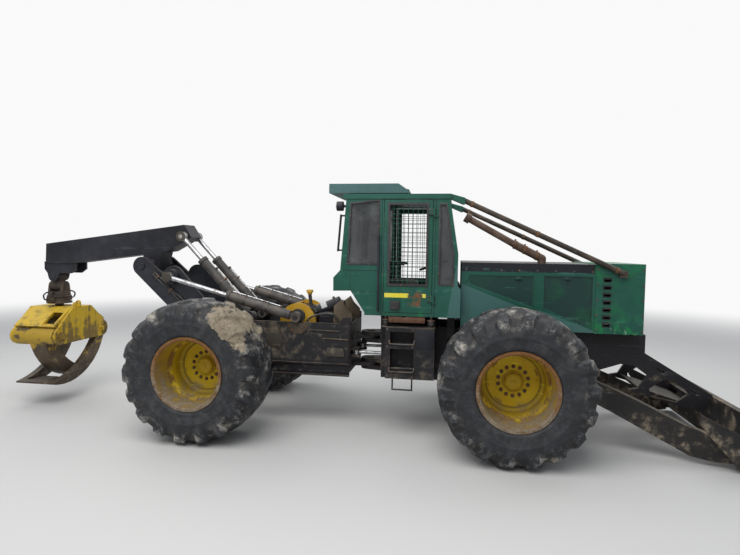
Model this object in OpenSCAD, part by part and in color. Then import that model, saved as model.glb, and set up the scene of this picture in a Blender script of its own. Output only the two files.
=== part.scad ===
// Articulated grapple skidder with a dual-function arch, parked with its grapple closed.
// Millimetres. +X points forward, +Y to the machine's left, +Z up, and the ground is z = 0.
// Lengths along the machine are counted from the front axle, which stands at front_axle_x.

/* [Wheels] */
// Distance from the origin to the front axle
front_axle_x = 2207.5; // [2100:0.5:2300]
// Distance between the front and the rear axle
wheelbase = 3710; // [3600:10:3900]
// Outer radius of the worn tyre
tyre_r = 850; // [800:5:920]
// Width of the tyre
tyre_w = 775; // [700:5:780]
// Number of lugs on each side of a tyre
lugs = 18; // [14:1:20]
// Depth of the worn gaps between the lugs at the shoulder
lug_depth = 42; // [20:1:60]
// Distance from the machine's middle to a tyre's middle
wheel_y = 1212; // [1205:1:1260]
// Radius of the rim's outer flange
rim_r = 435; // [400:5:460]
// Radius of the seat that the tyre's bead grips
bead_r = 410; // [380:5:420]
// Half the rim's width over its flanges
rim_half_w = 348; // [320:2:360]
// Depth of the wheel disc behind the outer flange
dish_depth = 520; // [450:5:540]
// Thickness of the wheel disc
disc_t = 43; // [30:1:60]
// Radius of the round hub in the wheel disc
hub_r = 150; // [120:5:170]
// Radius of the spindle that carries the wheel
spindle_r = 60; // [45:1:80]
// Radial clearance of a shaft in its hole
running_gap = 0.05; // [0.02:0.01:0.1]
// Space left between two pieces that are bolted or welded together
weld_gap = 0.3; // [0.2:0.05:0.5]

/* [Frames] */
// Half the width over the frame's side plates
frame_half_w = 420; // [400:5:440]
// Thickness of a frame's side plate
frame_t = 40; // [25:1:50]
// Height of the frame's top edge
frame_top_z = 1340; // [1300:5:1360]
// Distance from the front axle back to the steering pivot
pivot_back = 1800; // [1780:5:1850]
// Radius of the steering pivot pins
pivot_pin_r = 50; // [40:1:60]
// Radius of the ears round the steering pivot
pivot_ear_r = 130; // [110:5:150]
// Thickness of a steering pivot ear
pivot_ear_t = 45; // [35:1:60]
// Height of the upper steering pivot's middle
pivot_top_z = 1130; // [1100:5:1180]
// Height of the lower steering pivot's middle
pivot_low_z = 760; // [730:5:800]
// Radius of the tow eye between the nose plates
tow_eye_r = 28; // [20:1:32]
// Radius of the tow pin's hole
tow_hole_r = 26; // [20:1:40]
// Radius of an axle tube
axle_tube_r = 130; // [110:5:150]

/* [Cab and hood] */
// Half the cab's width
cab_half_w = 730; // [700:5:760]
// Thickness of the cab's walls and doors
cab_wall = 45; // [30:1:60]
// Height of the cab's underside
cab_floor_z = 1505; // [1490:5:1530]
// Height of the roof slab's underside
roof_z = 2938; // [2900:2:2960]
// Thickness of the roof slab
roof_t = 60; // [40:2:80]
// Height of the cooler box on the roof
roof_box_h = 120; // [90:5:150]
// Clear gap round a door
door_gap = 6; // [5:1:10]
// Half the hood's width
hood_half_w = 600; // [560:5:620]
// Height of the hood's lower edge
hood_low_z = 1366; // [1362:2:1400]
// Height of the hood's top
hood_top_z = 2190; // [2100:5:2250]
// Thickness of the hood's sheet
hood_wall = 30; // [20:1:40]
// Number of louvre slots in each side of the grille box
louvres = 7; // [4:1:8]
// Spacing of the louvre slots
louvre_pitch = 88; // [80:1:90]
// Height of one louvre slot
louvre_h = 34; // [20:1:50]

/* [Blade] */
// Height of the blade's pivot
blade_pivot_z = 930; // [900:5:960]
// Distance from the front axle to the blade's pivot
blade_pivot_x = 420; // [400:5:450]
// Width of a push arm
arm_w = 130; // [100:5:140]
// Half the mouldboard's width
blade_half_w = 1150; // [1000:10:1200]
// Height of the cutting edge over the ground
blade_low_z = 45; // [20:5:80]

/* [Arch and boom] */
// Radius of the arch's lower pins
arch_pin_r = 50; // [40:1:60]
// Radius of the pin between arch and boom
boom_pin_r = 45; // [35:1:55]
// Space between an arch plate and the frame's side plate
arch_gap = 10; // [6:1:20]
// Thickness of an arch plate
arch_t = 40; // [25:1:50]
// Half the boom's width
boom_half_w = 150; // [120:5:165]
// Distance from the frame's side plate to a cylinder's middle outside it
ram_offset = 80; // [78:1:95]
// Half the distance between the boom cylinders
boom_ram_y = 215; // [205:1:230]

/* [Cylinders] */
// Outer radius of the arch and boom cylinders
ram_r = 62; // [50:1:70]
// Radius of the arch and boom cylinders' rods
rod_r = 32; // [25:1:40]
// Radius of the eyes of the arch and boom cylinders
eye_r = 68; // [60:1:80]
// Width of the eyes of the arch and boom cylinders
eye_w = 80; // [60:1:90]
// Radius of the pins in the cylinders' eyes
ram_pin_r = 30; // [25:1:35]
// Outer radius of the steering and blade cylinders
small_ram_r = 45; // [35:1:50]
// Radius of the steering and blade cylinders' rods
small_rod_r = 22; // [18:1:28]
// Radius of the small cylinders' eyes
small_eye_r = 48; // [40:1:55]
// Radius of the pins in the small cylinders' eyes
small_pin_r = 22; // [18:1:26]

/* [Grapple] */
// Height of the fore-and-aft swing axis under the boom's tip
swing_z = 1850; // [1830:5:1870]
// Distance from the fore-and-aft axis down to the sideways axis
swing_drop = 150; // [145:5:170]
// Radius of the swing pins
swing_pin_r = 35; // [25:1:40]
// Half the distance between the tongs' hinge pins
tong_pin_y = 450; // [420:5:480]
// Height of the tongs' hinge pins
tong_pin_z = 1010; // [980:5:1040]
// Radius of the tongs' hinge pins
tong_pin_r = 45; // [35:1:55]
// Radius of the tube round a tong's hinge pin
tong_tube_r = 130; // [110:5:140]
// Outer radius of the tongs' curve
tong_out_r = 874; // [850:5:900]
// Width of the single arm of the right tong
tong_arm_w = 250; // [200:5:280]
// Width of each arm of the left tong
tong_side_w = 95; // [80:5:110]
// Thickness of the left tong's wide tip
tong_tip_t = 50; // [40:2:60]

/* [Hidden] */
$fn = 48;

// Colours as the photograph shows them
green = "#1d4f44";
black = "#23262b";
yellow = "#c9a42b";
rubber = "#2a2a2a";
steel = "#8b8d90";
rust = "#6b4a35";

// Axle and pivot places along X, from the front axle
axle_z = tyre_r;
rear_axle_x = -wheelbase;
pivot_x = -pivot_back;
frame_in = frame_half_w - frame_t;

// Outline of the front frame's side plates, seen from the right
frame_front_x = 1600;
axle_clear_r = axle_tube_r + 70;
nose_tip = [2370, 650];
nose_low = [2280, 430];
nose_root = [1480, 640];
tow_eye_x = 2265;

// Outline values of the rear frame
rear_nose_x = pivot_x - 210;
rear_end_x = rear_axle_x - 470;

// Cab outline values
cab_front_x = -640;
cab_rear_x = -2087;
cab_roof_front_x = -748;
cab_roof_rear_x = -2018;
door_rear_x = -1545;
door_front_x = -945;
door_low_z = 1545;
door_top_z = 2932;
hinge_x = -930;
hinge_y = cab_half_w + 20;
hinge_zs = [1690, 2740];
cab_in = cab_half_w - cab_wall;

// Hood outline values
hood_rear_x = -596;
grille_x = 967;
hood_front_x = 1507;
strip_low_z = 2056;

// Push arm line from its pivot to the mouldboard
arm_in_y = frame_half_w + 145;
arm_out_y = arm_in_y + arm_w;
arm_flare_x = 1120;
arm_flare = 15.5;
blade_back_x = 2390;
blade_lip_x = 2560;
blade_top_z = 620;

// Arch, boom and cylinder pins, seen from the right as [x, z]
arch_pin = [rear_axle_x - 220, 1075];
boom_pin = arch_pin + [-1080, 965];
boom_ram_base = arch_pin + [480, 295];
boom_ram_eye = boom_pin + [527, 425];
arch_ram_base = [rear_axle_x + 983, 1420];
arch_ram_eye = arch_pin + [-607, 830];
arch_half_w = frame_in - arch_gap;
arch_in = arch_half_w - arch_t;
arch_ram_y = frame_half_w + ram_offset;
blade_ram_base = [300, 1235];
blade_ram_eye = [1000, 880];
blade_ram_y = frame_half_w + ram_offset;
steer_front = [-960, 270];
steer_rear = [-1955, 250];
steer_z = (pivot_top_z + pivot_low_z) / 2;

// Grapple places
grapple_x = boom_pin[0] - 1610;
head_front_x = grapple_x + 350;
head_rear_x = grapple_x - 330;
head_top_z = 1400;
swing_low_z = swing_z - swing_drop;
plate_gap = 5;

// Puts the children at their place along the machine
module from_front_axle() {
    translate([front_axle_x, 0, 0]) children();
}

// The children and their mirror image on the left side
module both_sides() {
    children();
    mirror([0, 1, 0]) children();
}

// Extrudes an outline in X and Z between two Y values
module side(y0, y1) {
    translate([0, y1, 0]) rotate([90, 0, 0]) linear_extrude(y1 - y0) children();
}

// Extrudes an outline in Y and Z between two X values
module across(x0, x1) {
    translate([x0, 0, 0]) rotate([90, 0, 90]) linear_extrude(x1 - x0) children();
}

// A box given by its lowest and highest corner
module block(low, high) {
    translate(low) cube(high - low);
}

// A round bar along Y at a point [x, z]
module pin_y(at, r, y0, y1) {
    translate([at[0], y0, at[1]]) rotate([-90, 0, 0]) cylinder(r = r, h = y1 - y0);
}

// A round bar along X at a point [y, z]
module pin_x(at, r, x0, x1) {
    translate([x0, at[0], at[1]]) rotate([0, 90, 0]) cylinder(r = r, h = x1 - x0);
}

// A round bar between two points in space
module bar(a, b, r) {
    d = b - a;
    translate(a) rotate([0, acos(d[2] / norm(d)), atan2(d[1], d[0])]) cylinder(r = r, h = norm(d));
}

// Outline with two round ends and straight sides that touch both
module link(a, ra, b, rb) {
    d = norm(b - a);
    turn = atan2(b[1] - a[1], b[0] - a[0]);
    lean = acos((ra - rb) / d);
    u = [cos(turn + lean), sin(turn + lean)];
    v = [cos(turn - lean), sin(turn - lean)];
    translate(a) circle(ra);
    translate(b) circle(rb);
    polygon([a + ra * u, a + ra * v, b + rb * v, b + rb * u]);
}

// Turns a cylinder's own axis from +Z to the line between two points [x, z]
module ram_line(base, eye, y) {
    d = eye - base;
    translate([base[0], y, base[1]]) rotate([0, 90 - atan2(d[1], d[0]), 0]) children();
}

// Barrel of a hydraulic cylinder with its base eye at the origin, lying along +Z
module ram_barrel(r, length, rod, eye, width, pin) {
    gland = 45;
    neck = 12;
    floor_z = eye + neck + 25;
    difference() {
        union() {
            rotate([90, 0, 0]) cylinder(r = eye, h = width, center = true);
            translate([0, 0, eye * 0.5]) cylinder(r = r * 0.6, h = eye * 0.5 + neck + 5);
            translate([0, 0, eye + neck]) cylinder(r = r, h = length - eye - neck);
            translate([0, 0, length - gland]) cylinder(r = r + 10, h = gland);
        }
        rotate([90, 0, 0]) cylinder(r = pin + running_gap, h = width + 2, center = true);
        translate([0, 0, floor_z]) cylinder(r = r - 12, h = length - gland - floor_z);
        translate([0, 0, floor_z]) cylinder(r = rod + running_gap, h = length);
    }
}

// Rod of a hydraulic cylinder on the same line, from its piston to its eye, which holds its own pin
module ram_rod(r, start, length, rod, eye, width, pin, pin_w) {
    piston = 50;
    difference() {
        union() {
            translate([0, 0, start]) cylinder(r = r - 12 - running_gap, h = piston);
            translate([0, 0, start]) cylinder(r = rod, h = length - start);
            translate([0, 0, length]) rotate([90, 0, 0]) cylinder(r = eye, h = width, center = true);
            translate([0, 0, length]) rotate([90, 0, 0]) cylinder(r = pin, h = pin_w, center = true);
        }
    }
}

// Front frame: two deep side plates with the sloping nose, joined by cross plates
module front_frame_outline() {
    difference() {
        polygon([
            [-1600, 660], [-1600, frame_top_z], [frame_front_x, frame_top_z], [frame_front_x, 1120],
            nose_tip, nose_low, nose_root, [1040, 880], [700, 820], [420, 820], [230, 1080],
            [-230, 1080], [-420, 700], [-700, 660]
        ]);
        // The open triangle behind the nose
        polygon([[1100, 800], [1090, 890], [1330, 975], [1480, 965], [1640, 850], [1545, 690], [1300, 640]]);
        // The window in the nose
        polygon([[1665, 690], [1810, 800], [1890, 815], [2090, 690], [2110, 650], [1975, 545], [1680, 600]]);
        nose_slot(0.28);
        nose_slot(0.79);
    }
}

// A long slot along the nose's top chord, at a share of its length
module nose_slot(share) {
    chord = nose_tip - [frame_front_x, 1120];
    at = [frame_front_x, 1120] + share * chord + [-35, -75];
    translate(at) rotate(atan2(chord[1], chord[0])) link([-35, 0], 18, [35, 0], 18);
}

// One side plate with the blade's pivot boss, the lift cylinder's pin and the cab mounts
module front_side_plate() {
    pivot = [blade_pivot_x, blade_pivot_z];
    side(-frame_half_w, -frame_in) front_frame_outline();
    pin_y(pivot, 105, -arm_in_y + 3, -frame_half_w - weld_gap);
    pin_y(pivot, small_ram_r, -arm_out_y - 12, -arm_in_y + 3);
    pin_y(pivot, 80, -arm_out_y - 30, -arm_out_y - 5);
    pin_y(blade_ram_base, small_pin_r, -blade_ram_y - 40, -frame_half_w - weld_gap);
    for (x = [-1600, -760]) {
        block([x, -frame_half_w - 60, frame_top_z - 120],
              [x + 95, -frame_half_w - weld_gap, cab_floor_z - weld_gap]);
    }
}

// Fork and pin that hold a steering cylinder's base
module steer_bracket() {
    x = steer_front[0];
    for (z = [steer_z - 60, steer_z + 32]) {
        block([x - 45, weld_gap - frame_in, z], [x + 60, 55 - steer_front[1], z + 28]);
    }
    translate([x, -steer_front[1], steer_z - 35]) cylinder(r = small_pin_r, h = 70);
}

// Solid plates between the two side plates: [x0, x1, z0, z1]
front_cross_plates = [
    [frame_front_x - 40, frame_front_x, 1130, frame_top_z],
    [700, 1000, 860, 900],
    [330, 370, 1080, frame_top_z - 120],
    [-370, -330, 1080, frame_top_z - 120]
];

module front_frame() {
    inner = frame_in - weld_gap;
    color(black) from_front_axle() {
        both_sides() {
            front_side_plate();
            steer_bracket();
        }
        // Crossbars under the hood
        for (x = [-590, 1400]) {
            block([x, -hood_half_w, frame_top_z + weld_gap], [x + 90, hood_half_w, hood_low_z - 4 - weld_gap]);
        }
        difference() {
            for (p = front_cross_plates) {
                block([p[0], -inner, p[2]], [p[1], inner, p[3]]);
            }
            // Hole for the trunnion that the axle rocks on
            pin_x([0, 1165], 60 + running_gap, -400, 400);
        }
        // Floor and end plate; the end plate leaves windows that the steering cylinders pass through
        block([-1560 + weld_gap, -inner, 660], [-800, inner, 700]);
        block([-1600, -inner, 660], [-1560, inner, steer_z - 80]);
        block([-1600, -100, steer_z - 80 + weld_gap], [-1560, 100, steer_z + 80 - weld_gap]);
        block([-1600, -inner, steer_z + 80], [-1560, inner, frame_top_z]);
        // Sloping plate, tow eye plate and crossbar between the two nose plates
        side(-inner, inner) polygon([[1560, 660], [1560, 690], [2190, 497], [2190, 467]]);
        difference() {
            block([tow_eye_x - 65, -inner, 545], [tow_eye_x + 50, inner, 585]);
            translate([tow_eye_x, 0, 540]) cylinder(r = tow_eye_r, h = 50);
        }
        pin_y(nose_tip + [-75, -30], 25, -inner, inner);
        // Steering pivot ears, above and below those of the rear frame
        front_ears();
    }
}

// The front frame's steering ears with their pins
module front_ears() {
    end_x = -1600 - weld_gap;
    for (z = [pivot_low_z, pivot_top_z]) {
        for (up = [-1, 1]) {
            translate([0, 0, z + up * (pivot_ear_t + plate_gap) - pivot_ear_t / 2])
                linear_extrude(pivot_ear_t) intersection() {
                    link([end_x, 0], 170, [pivot_x, 0], pivot_ear_r);
                    translate([end_x - 400, -200]) square([400, 400]);
                }
        }
        translate([pivot_x, 0, z - pivot_ear_t * 1.5 - plate_gap - 12])
            cylinder(r = pivot_pin_r, h = pivot_ear_t * 3 + plate_gap * 2 + 24);
    }
}

// Front axle with its middle housing, brake housings and spindles
module axle(at_x) {
    translate([at_x, 0, axle_z]) {
        both_sides() rotate([90, 0, 0]) {
            cylinder(r = axle_tube_r, h = 640);
            translate([0, 0, 610]) cylinder(r = 190, h = 110);
            cylinder(r = spindle_r, h = wheel_y + rim_half_w - dish_depth - 10);
        }
        rotate([90, 0, 0]) rotate_extrude()
            polygon([[0, -300], [150, -300], [230, -150], [250, 0], [230, 150], [150, 300], [0, 300]]);
    }
}

module front_axle() {
    color(black) from_front_axle() {
        axle(0);
        // Trunnion above the axle that lets it rock
        translate([0, 0, axle_z]) cylinder(r = 120, h = 1165 - axle_z);
        pin_x([0, 1165], 120, -300, 300);
        pin_x([0, 1165], 60, -385, 385);
    }
}

module engine() {
    color(steel) from_front_axle() {
        block([-380, -300, 1300], [1000, 300, 1960]);
        for (x = [-260, 760]) {
            both_sides() block([x, weld_gap - frame_in, 1240], [x + 110, -230, 1300]);
        }
    }
}

// Hood: sheet shell with recessed side panels, louvred grille box and front grille
module hood() {
    color(green) from_front_axle() difference() {
        union() {
            block([hood_rear_x, -hood_half_w, hood_low_z], [grille_x + 190, hood_half_w, hood_top_z - 12]);
            block([grille_x, -hood_half_w - 12, hood_low_z - 4], [hood_front_x, hood_half_w + 12, hood_top_z]);
        }
        block([hood_rear_x - 10, hood_wall - hood_half_w, hood_low_z - 10],
              [hood_front_x - hood_wall, hood_half_w - hood_wall, hood_top_z - 12 - hood_wall]);
        both_sides() {
            side(-hood_half_w - 1, -hood_half_w + 10) {
                polygon([[-487, 2022], [264, 2022], [264, 1640], [-540, 1925]]);
                polygon([[385, 2022], [925, 2022], [925, 1480], [385, 1590]]);
            }
            for (i = [0 : louvres - 1]) {
                side(-hood_half_w - 20, -hood_half_w + hood_wall + 10)
                    translate([1095, 1470 + i * louvre_pitch]) square([70, louvre_h], center = true);
            }
        }
        for (i = [0 : 5]) {
            block([hood_front_x - hood_wall - 10, -430 + i * 150, 1450], [hood_front_x + 10, -320 + i * 150, 2080]);
        }
    }
}

module exhaust() {
    color(rust) from_front_axle() {
        low = [377, -400, 2235];
        high = [45, -400, 2405];
        end = [-560, -400, 2745];
        translate([377, -400, hood_top_z - 11.7]) cylinder(r = 50, h = low[2] - hood_top_z + 11.7);
        translate(low) sphere(r = 50);
        bar(low, high, 50);
        bar(high, end, 42);
        bar(end + [60, 0, -34], end, 62);
    }
}

// Two tubes that lead branches from the grille box over the cab
module limb_risers() {
    color(black) from_front_axle() both_sides() {
        top = [-620, -hood_half_w - 48, 2940];
        low = [1257, -hood_half_w - 48, 2080];
        difference() {
            bar(top, low, 32);
            block([-700, -800, 2800], [-574.7, -500, 3000]);
        }
        block([1215, -hood_half_w - 60, 2035], [1300, -hood_half_w - 12.3, 2110]);
    }
}

// Cab side outline
module cab_outline() {
    polygon([
        [-1775, cab_floor_z], [-1776, 1540], [-1953, 1803], [-2173, 1797], [-2174, 1963],
        [cab_rear_x, 2057], [cab_roof_rear_x, roof_z], [cab_roof_front_x, roof_z],
        [cab_front_x, 2279], [-640, 1890], [-602, 1850], [-602, cab_floor_z]
    ]);
}

// Inside of the cab, a wall smaller all round
module cab_inside() {
    w = cab_wall;
    polygon([
        [-1775 + w, cab_floor_z + w], [-1776 + w, 1540 + w * 0.3], [-1953 + w * 0.4, 1803 + w],
        [-2173 + w, 1797 + w], [-2174 + w, 1963 - w * 0.3], [cab_rear_x + w, 2057 - w * 0.3],
        [cab_roof_rear_x + w, roof_z - 2], [cab_roof_front_x - w, roof_z - 2], [cab_front_x - w, 2275],
        [-640 - w, 1885], [-602 - w, 1840], [-602 - w, cab_floor_z + w]
    ]);
}

module rear_window() {
    polygon([[-1990, 2140], [-1955, 2880], [-1608, 2915], [-1608, 2140]]);
}

module front_side_window() {
    polygon([[-865, 2873], [-795, 2873], [-700, 2285], [-700, 1905], [-865, 1905]]);
}

// Hollow cab with its roof slab, doorways and windows
module cab_shell() {
    color(green) from_front_axle() {
        difference() {
            side(-cab_half_w, cab_half_w) cab_outline();
            side(-cab_in, cab_in) cab_inside();
            side(-cab_half_w - 1, cab_half_w + 1) {
                rear_window();
                front_side_window();
                translate([door_rear_x, door_low_z])
                    square([door_front_x - door_rear_x, door_top_z - door_low_z]);
            }
            // Windscreen and rear window
            block([-860, -600, 1960], [-560, 600, 2850]);
            block([-2120, -560, 2160], [-1900, 560, 2850]);
        }
        // Hinge lugs and pins of the doors
        both_sides() for (z = hinge_zs) {
            translate([hinge_x, -hinge_y, z - 22]) cylinder(r = 15, h = 20);
            block([hinge_x - 4, -hinge_y - 4, z - 22], [hinge_x + 40, -cab_half_w, z - 2]);
            translate([hinge_x, -hinge_y, z - 10]) cylinder(r = 8, h = 92);
        }
        // Roof slab with its brackets for the limb risers
        block([-2055, -cab_half_w - 12, roof_z], [-738, cab_half_w + 12, roof_z + roof_t]);
        both_sides() side(-hood_half_w - 110, -hood_half_w + 20)
            polygon([[-738, roof_z + roof_t], [-738, roof_z], [-600, roof_z - 60], [-575, roof_z - 60], [-575, roof_z + 15]]);
    }
}

// Panes set in the middle of the cab's walls
module cab_glass() {
    pane = 6;
    mid = cab_half_w - cab_wall / 2;
    color("#9fb6b0", 0.4) from_front_axle() {
        both_sides() {
            side(-mid - pane / 2, -mid + pane / 2) {
                offset(delta = -0.3) rear_window();
                offset(delta = -0.3) front_side_window();
            }
        }
        difference() {
            side(-599.7, 599.7) {
                polygon([[-782, 2850], [-776, 2850], [-665, 2275], [-665, 1960.3], [-671, 1960.3], [-671, 2274]]);
            }
            block([-900, -700, 2849.7], [-500, 700, 2900]);
        }
        side(-559.7, 559.7)
            polygon([[-2062, 2160.3], [-2056, 2160.3], [-2004, 2849.7], [-2010, 2849.7]]);
    }
}

// Cooler box on the roof with a tapered front
module roof_box() {
    low = roof_z + roof_t;
    color(green) from_front_axle() {
        side(-500, 500) polygon([
            [-2293, low + 35], [-2293, low + 35 + roof_box_h], [-1400, low + 35 + roof_box_h],
            [-1259, low + 60], [-1259, low + 35]
        ]);
        block([-2030, -440, low], [-1300, 440, low + 35]);
        side(-12, 12) difference() {
            translate([-1330, low + 110]) circle(r = 32);
            translate([-1330, low + 112]) circle(r = 16);
        }
    }
}

// Round lamps under the roof's rear edge
module work_lights() {
    color(black) from_front_axle() both_sides() {
        pin_x([-640, 2855], 60, -2150, -2075);
        block([-2075, -660, 2840], [-2026, -620, 2870]);
    }
}

// Grab bars beside the doors
module handrails() {
    color(black) from_front_axle() both_sides() {
        bar([-1600, -cab_half_w - 55, 1560], [-1600, -cab_half_w - 55, 2500], 14);
        for (z = [1575, 2485]) {
            pin_y([-1600, z], 12, -cab_half_w - 55, -cab_half_w - weld_gap);
        }
        // Handle on the cab's back
        bar([cab_back(2290) - 62, -handle_y, 2290], [cab_back(2750) - 62, -handle_y, 2750], 14);
        for (z = [2305, 2735]) {
            pin_x([-handle_y, z], 11, cab_back(z) - 62, cab_back(z) - 1);
        }
    }
}

// Where the cab's back stands at a height
function cab_back(z) = cab_rear_x + (cab_roof_rear_x - cab_rear_x) * (z - 2057) / (roof_z - 2057);
handle_y = cab_half_w - 60;

module seat() {
    color(black) from_front_axle() {
        block([-1560, -200, cab_floor_z + cab_wall], [-1260, 200, 1800]);
        block([-1620, -240, 1800], [-1140, 240, 1930]);
        side(-240, 240) polygon([[-1660, 1930], [-1545, 1930], [-1620, 2560], [-1720, 2560]]);
    }
}

module console() {
    color(black) from_front_axle() {
        block([-900, -420, cab_floor_z + cab_wall], [-700, 420, 1830]);
        bar([-850, 0, 1825], [-960, 0, 2120], 30);
        translate([-960, 0, 2120]) rotate([0, -20, 0]) rotate_extrude() translate([190, 0]) circle(r = 15);
        translate([-960, 0, 2120]) rotate([0, -20, 0]) difference() {
            cylinder(r = 186, h = 14, center = true);
            for (turn = [60, 180, 300]) {
                rotate(turn) translate([110, 0, -20]) cylinder(r = 62, h = 40);
            }
        }
    }
}

// Step box with its tank, two tread bars and a hanging wire step
module step_box() {
    x0 = -1500;
    x1 = -900;
    y0 = -790;
    y1 = -frame_half_w;
    difference() {
        block([x0, y0, 740], [x1, y1, frame_top_z + 30]);
        block([x0 + 60, y0 - 5, 800], [x1 - 250, y0 + 180, 1110]);
        block([x0 + 60, y0 - 5, 1160], [x1 - 250, y0 + 150, 1320]);
    }
    pin_x([y0 + 30, 860], 16, x0 + 60, x1 - 250);
    wire = 10;
    for (x = [x0 + 90, x0 + 330]) {
        bar([x, y0 + 40, 740], [x, y0 + 30, 600], wire);
    }
    bar([x0 + 80, y0 + 30, 600], [x0 + 340, y0 + 30, 600], wire);
}

module step_box_right() {
    color(black) from_front_axle() step_box();
}

module step_box_left() {
    color(black) from_front_axle() mirror([0, 1, 0]) step_box();
}

// Door with its window screen; hinged along its front edge
module door() {
    g = door_gap;
    side(-cab_half_w - 4, -cab_in) difference() {
        translate([door_rear_x + g, door_low_z + g])
            square([door_front_x - door_rear_x - 2 * g, door_top_z - door_low_z - 2 * g]);
        translate([-1488, 1883]) square([481, 998]);
    }
    // Screen of square mesh set in the window
    side(-cab_half_w + 8, -cab_half_w + 14) difference() {
        translate([-1488, 1883]) square([481, 998]);
        for (i = [0 : 7], k = [0 : 16]) {
            translate([-1482 + i * 59, 1889 + k * 58]) square([53, 52]);
        }
    }
    // Latch box, hinges
    block([-1430, -cab_half_w - 30, 1590], [-1350, -cab_half_w - 4, 1680]);
    for (z = hinge_zs) {
        difference() {
            union() {
                translate([hinge_x, -hinge_y, z]) cylinder(r = 15, h = 80);
                block([hinge_x - 70, -hinge_y - 8, z], [hinge_x, -cab_half_w - 4, z + 80]);
            }
            translate([hinge_x, -hinge_y, z - 1]) cylinder(r = 8 + running_gap, h = 82);
        }
    }
}

module door_right() {
    color(green) from_front_axle() door();
}

module door_left() {
    color(green) from_front_axle() mirror([0, 1, 0]) door();
}

// Places a wheel whose outer face looks along its own +Z
module wheel_place(at_x, right) {
    from_front_axle() translate([at_x, right ? -wheel_y : wheel_y, axle_z])
        rotate([right ? 90 : -90, 0, 0]) children();
}

// Worn tyre, from its beads out to the tips of its lugs.
// Between two columns its seat still clears the rim.
// Rings from the inner to the outer side: [radius, height on the wheel's axis, share of the lug's depth, side].
// The lugs of the two sides stand half a pitch apart.
tyre_half = tyre_w / 2;
tyre_seat_r = (bead_r + weld_gap) / cos(95 / lugs);
tyre_rings = [
    [tyre_seat_r, 30 - rim_half_w, 0, -1], [tyre_r - 200, -tyre_half, 0, -1], [tyre_r - 70, 24 - tyre_half, 1, -1],
    [tyre_r - 6, 120 - tyre_half, 0.8, -1],
    [tyre_r, -60, 0.12, -1], [tyre_r, 60, 0.12, 1],
    [tyre_r - 6, tyre_half - 120, 0.8, 1], [tyre_r - 70, tyre_half - 24, 1, 1],
    [tyre_r - 200, tyre_half, 0, 1], [tyre_seat_r, rim_half_w - 30, 0, 1]
];
// Places across one lug pitch, as shares of it, and the depth there
lug_steps = [[0, 0], [0.46, 0], [0.56, 1], [0.9, 1]];
tyre_columns = lugs * len(lug_steps);

// Point of a ring at a column
function tyre_point(ring, column) =
    let (step = lug_steps[column % len(lug_steps)],
         turn = 360 / lugs * (floor(column / len(lug_steps)) + step[0] + (ring[3] > 0 ? 0.5 : 0)),
         r = ring[0] - lug_depth * ring[2] * step[1])
    [r * cos(turn), r * sin(turn), ring[1]];

// Column that stands nearest to the same angle on the other side, where the lugs are shifted
function tyre_index(ring, column) =
    ring * tyre_columns + (column + (tyre_rings[ring][3] > 0 ? -2 : 0) + tyre_columns) % tyre_columns;

module tyre() {
    n = len(tyre_rings);
    color(rubber) polyhedron(
        points = [for (ring = tyre_rings, column = [0 : tyre_columns - 1]) tyre_point(ring, column)],
        faces = [for (ring = [0 : n - 1], column = [0 : tyre_columns - 1], half = [0, 1])
            let (a = tyre_index(ring, column), b = tyre_index(ring, column + 1),
                 c = tyre_index((ring + 1) % n, column + 1), d = tyre_index((ring + 1) % n, column))
            half == 0 ? [a, c, b] : [a, d, c]]
    );
}

// Deep-dished rim with its disc and hub
module rim() {
    disc_h = rim_half_w - dish_depth;
    w = rim_half_w;
    color(yellow) difference() {
        union() {
            rotate_extrude($fn = 96) polygon([
                [rim_r, w], [rim_r, w - 18], [bead_r, w - 28], [bead_r, 28 - w], [rim_r, 18 - w], [rim_r, -w],
                [bead_r - 12, -w], [bead_r - 20, disc_h - disc_t], [spindle_r, disc_h - disc_t], [spindle_r, disc_h],
                [bead_r - 110, disc_h], [bead_r - 65, disc_h + 32], [bead_r - 58, 20], [bead_r - 25, 60],
                [bead_r - 18, w - 13], [bead_r - 5, w]
            ]);
            translate([0, 0, disc_h]) cylinder(r = hub_r - 30, h = 22);
            translate([0, 0, 740 - wheel_y]) cylinder(r = hub_r, h = wheel_y - 740 + disc_h - disc_t);
        }
        translate([0, 0, 730 - wheel_y]) cylinder(r = spindle_r + running_gap, h = wheel_y - 730 + disc_h);
    }
}

module tyre_front_right() { wheel_place(0, true) tyre(); }
module rim_front_right() { wheel_place(0, true) rim(); }
module tyre_front_left() { wheel_place(0, false) tyre(); }
module rim_front_left() { wheel_place(0, false) rim(); }
module tyre_rear_right() { wheel_place(rear_axle_x, true) tyre(); }
module rim_rear_right() { wheel_place(rear_axle_x, true) rim(); }
module tyre_rear_left() { wheel_place(rear_axle_x, false) tyre(); }
module rim_rear_left() { wheel_place(rear_axle_x, false) rim(); }

// Blade: two flared push arms and a low curved mouldboard
module blade() {
    color(black) from_front_axle() {
        both_sides() push_arm();
        // Mouldboard with its end plates
        side(25 - blade_half_w, blade_half_w - 25) difference() {
            polygon([[blade_back_x, blade_top_z], [blade_back_x + 60, blade_top_z + 10], [blade_lip_x, blade_low_z],
                     [blade_lip_x - 60, blade_low_z], [blade_back_x, 180]]);
            translate([blade_back_x + 640, 420]) circle(r = 560, $fn = 96);
        }
        both_sides() side(-blade_half_w, 25 - blade_half_w)
            polygon([[1925, 620], [2304, 433], [blade_lip_x, 300], [blade_lip_x, blade_low_z],
                     [2330, blade_low_z], [1925, 510]]);
    }
}

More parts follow.
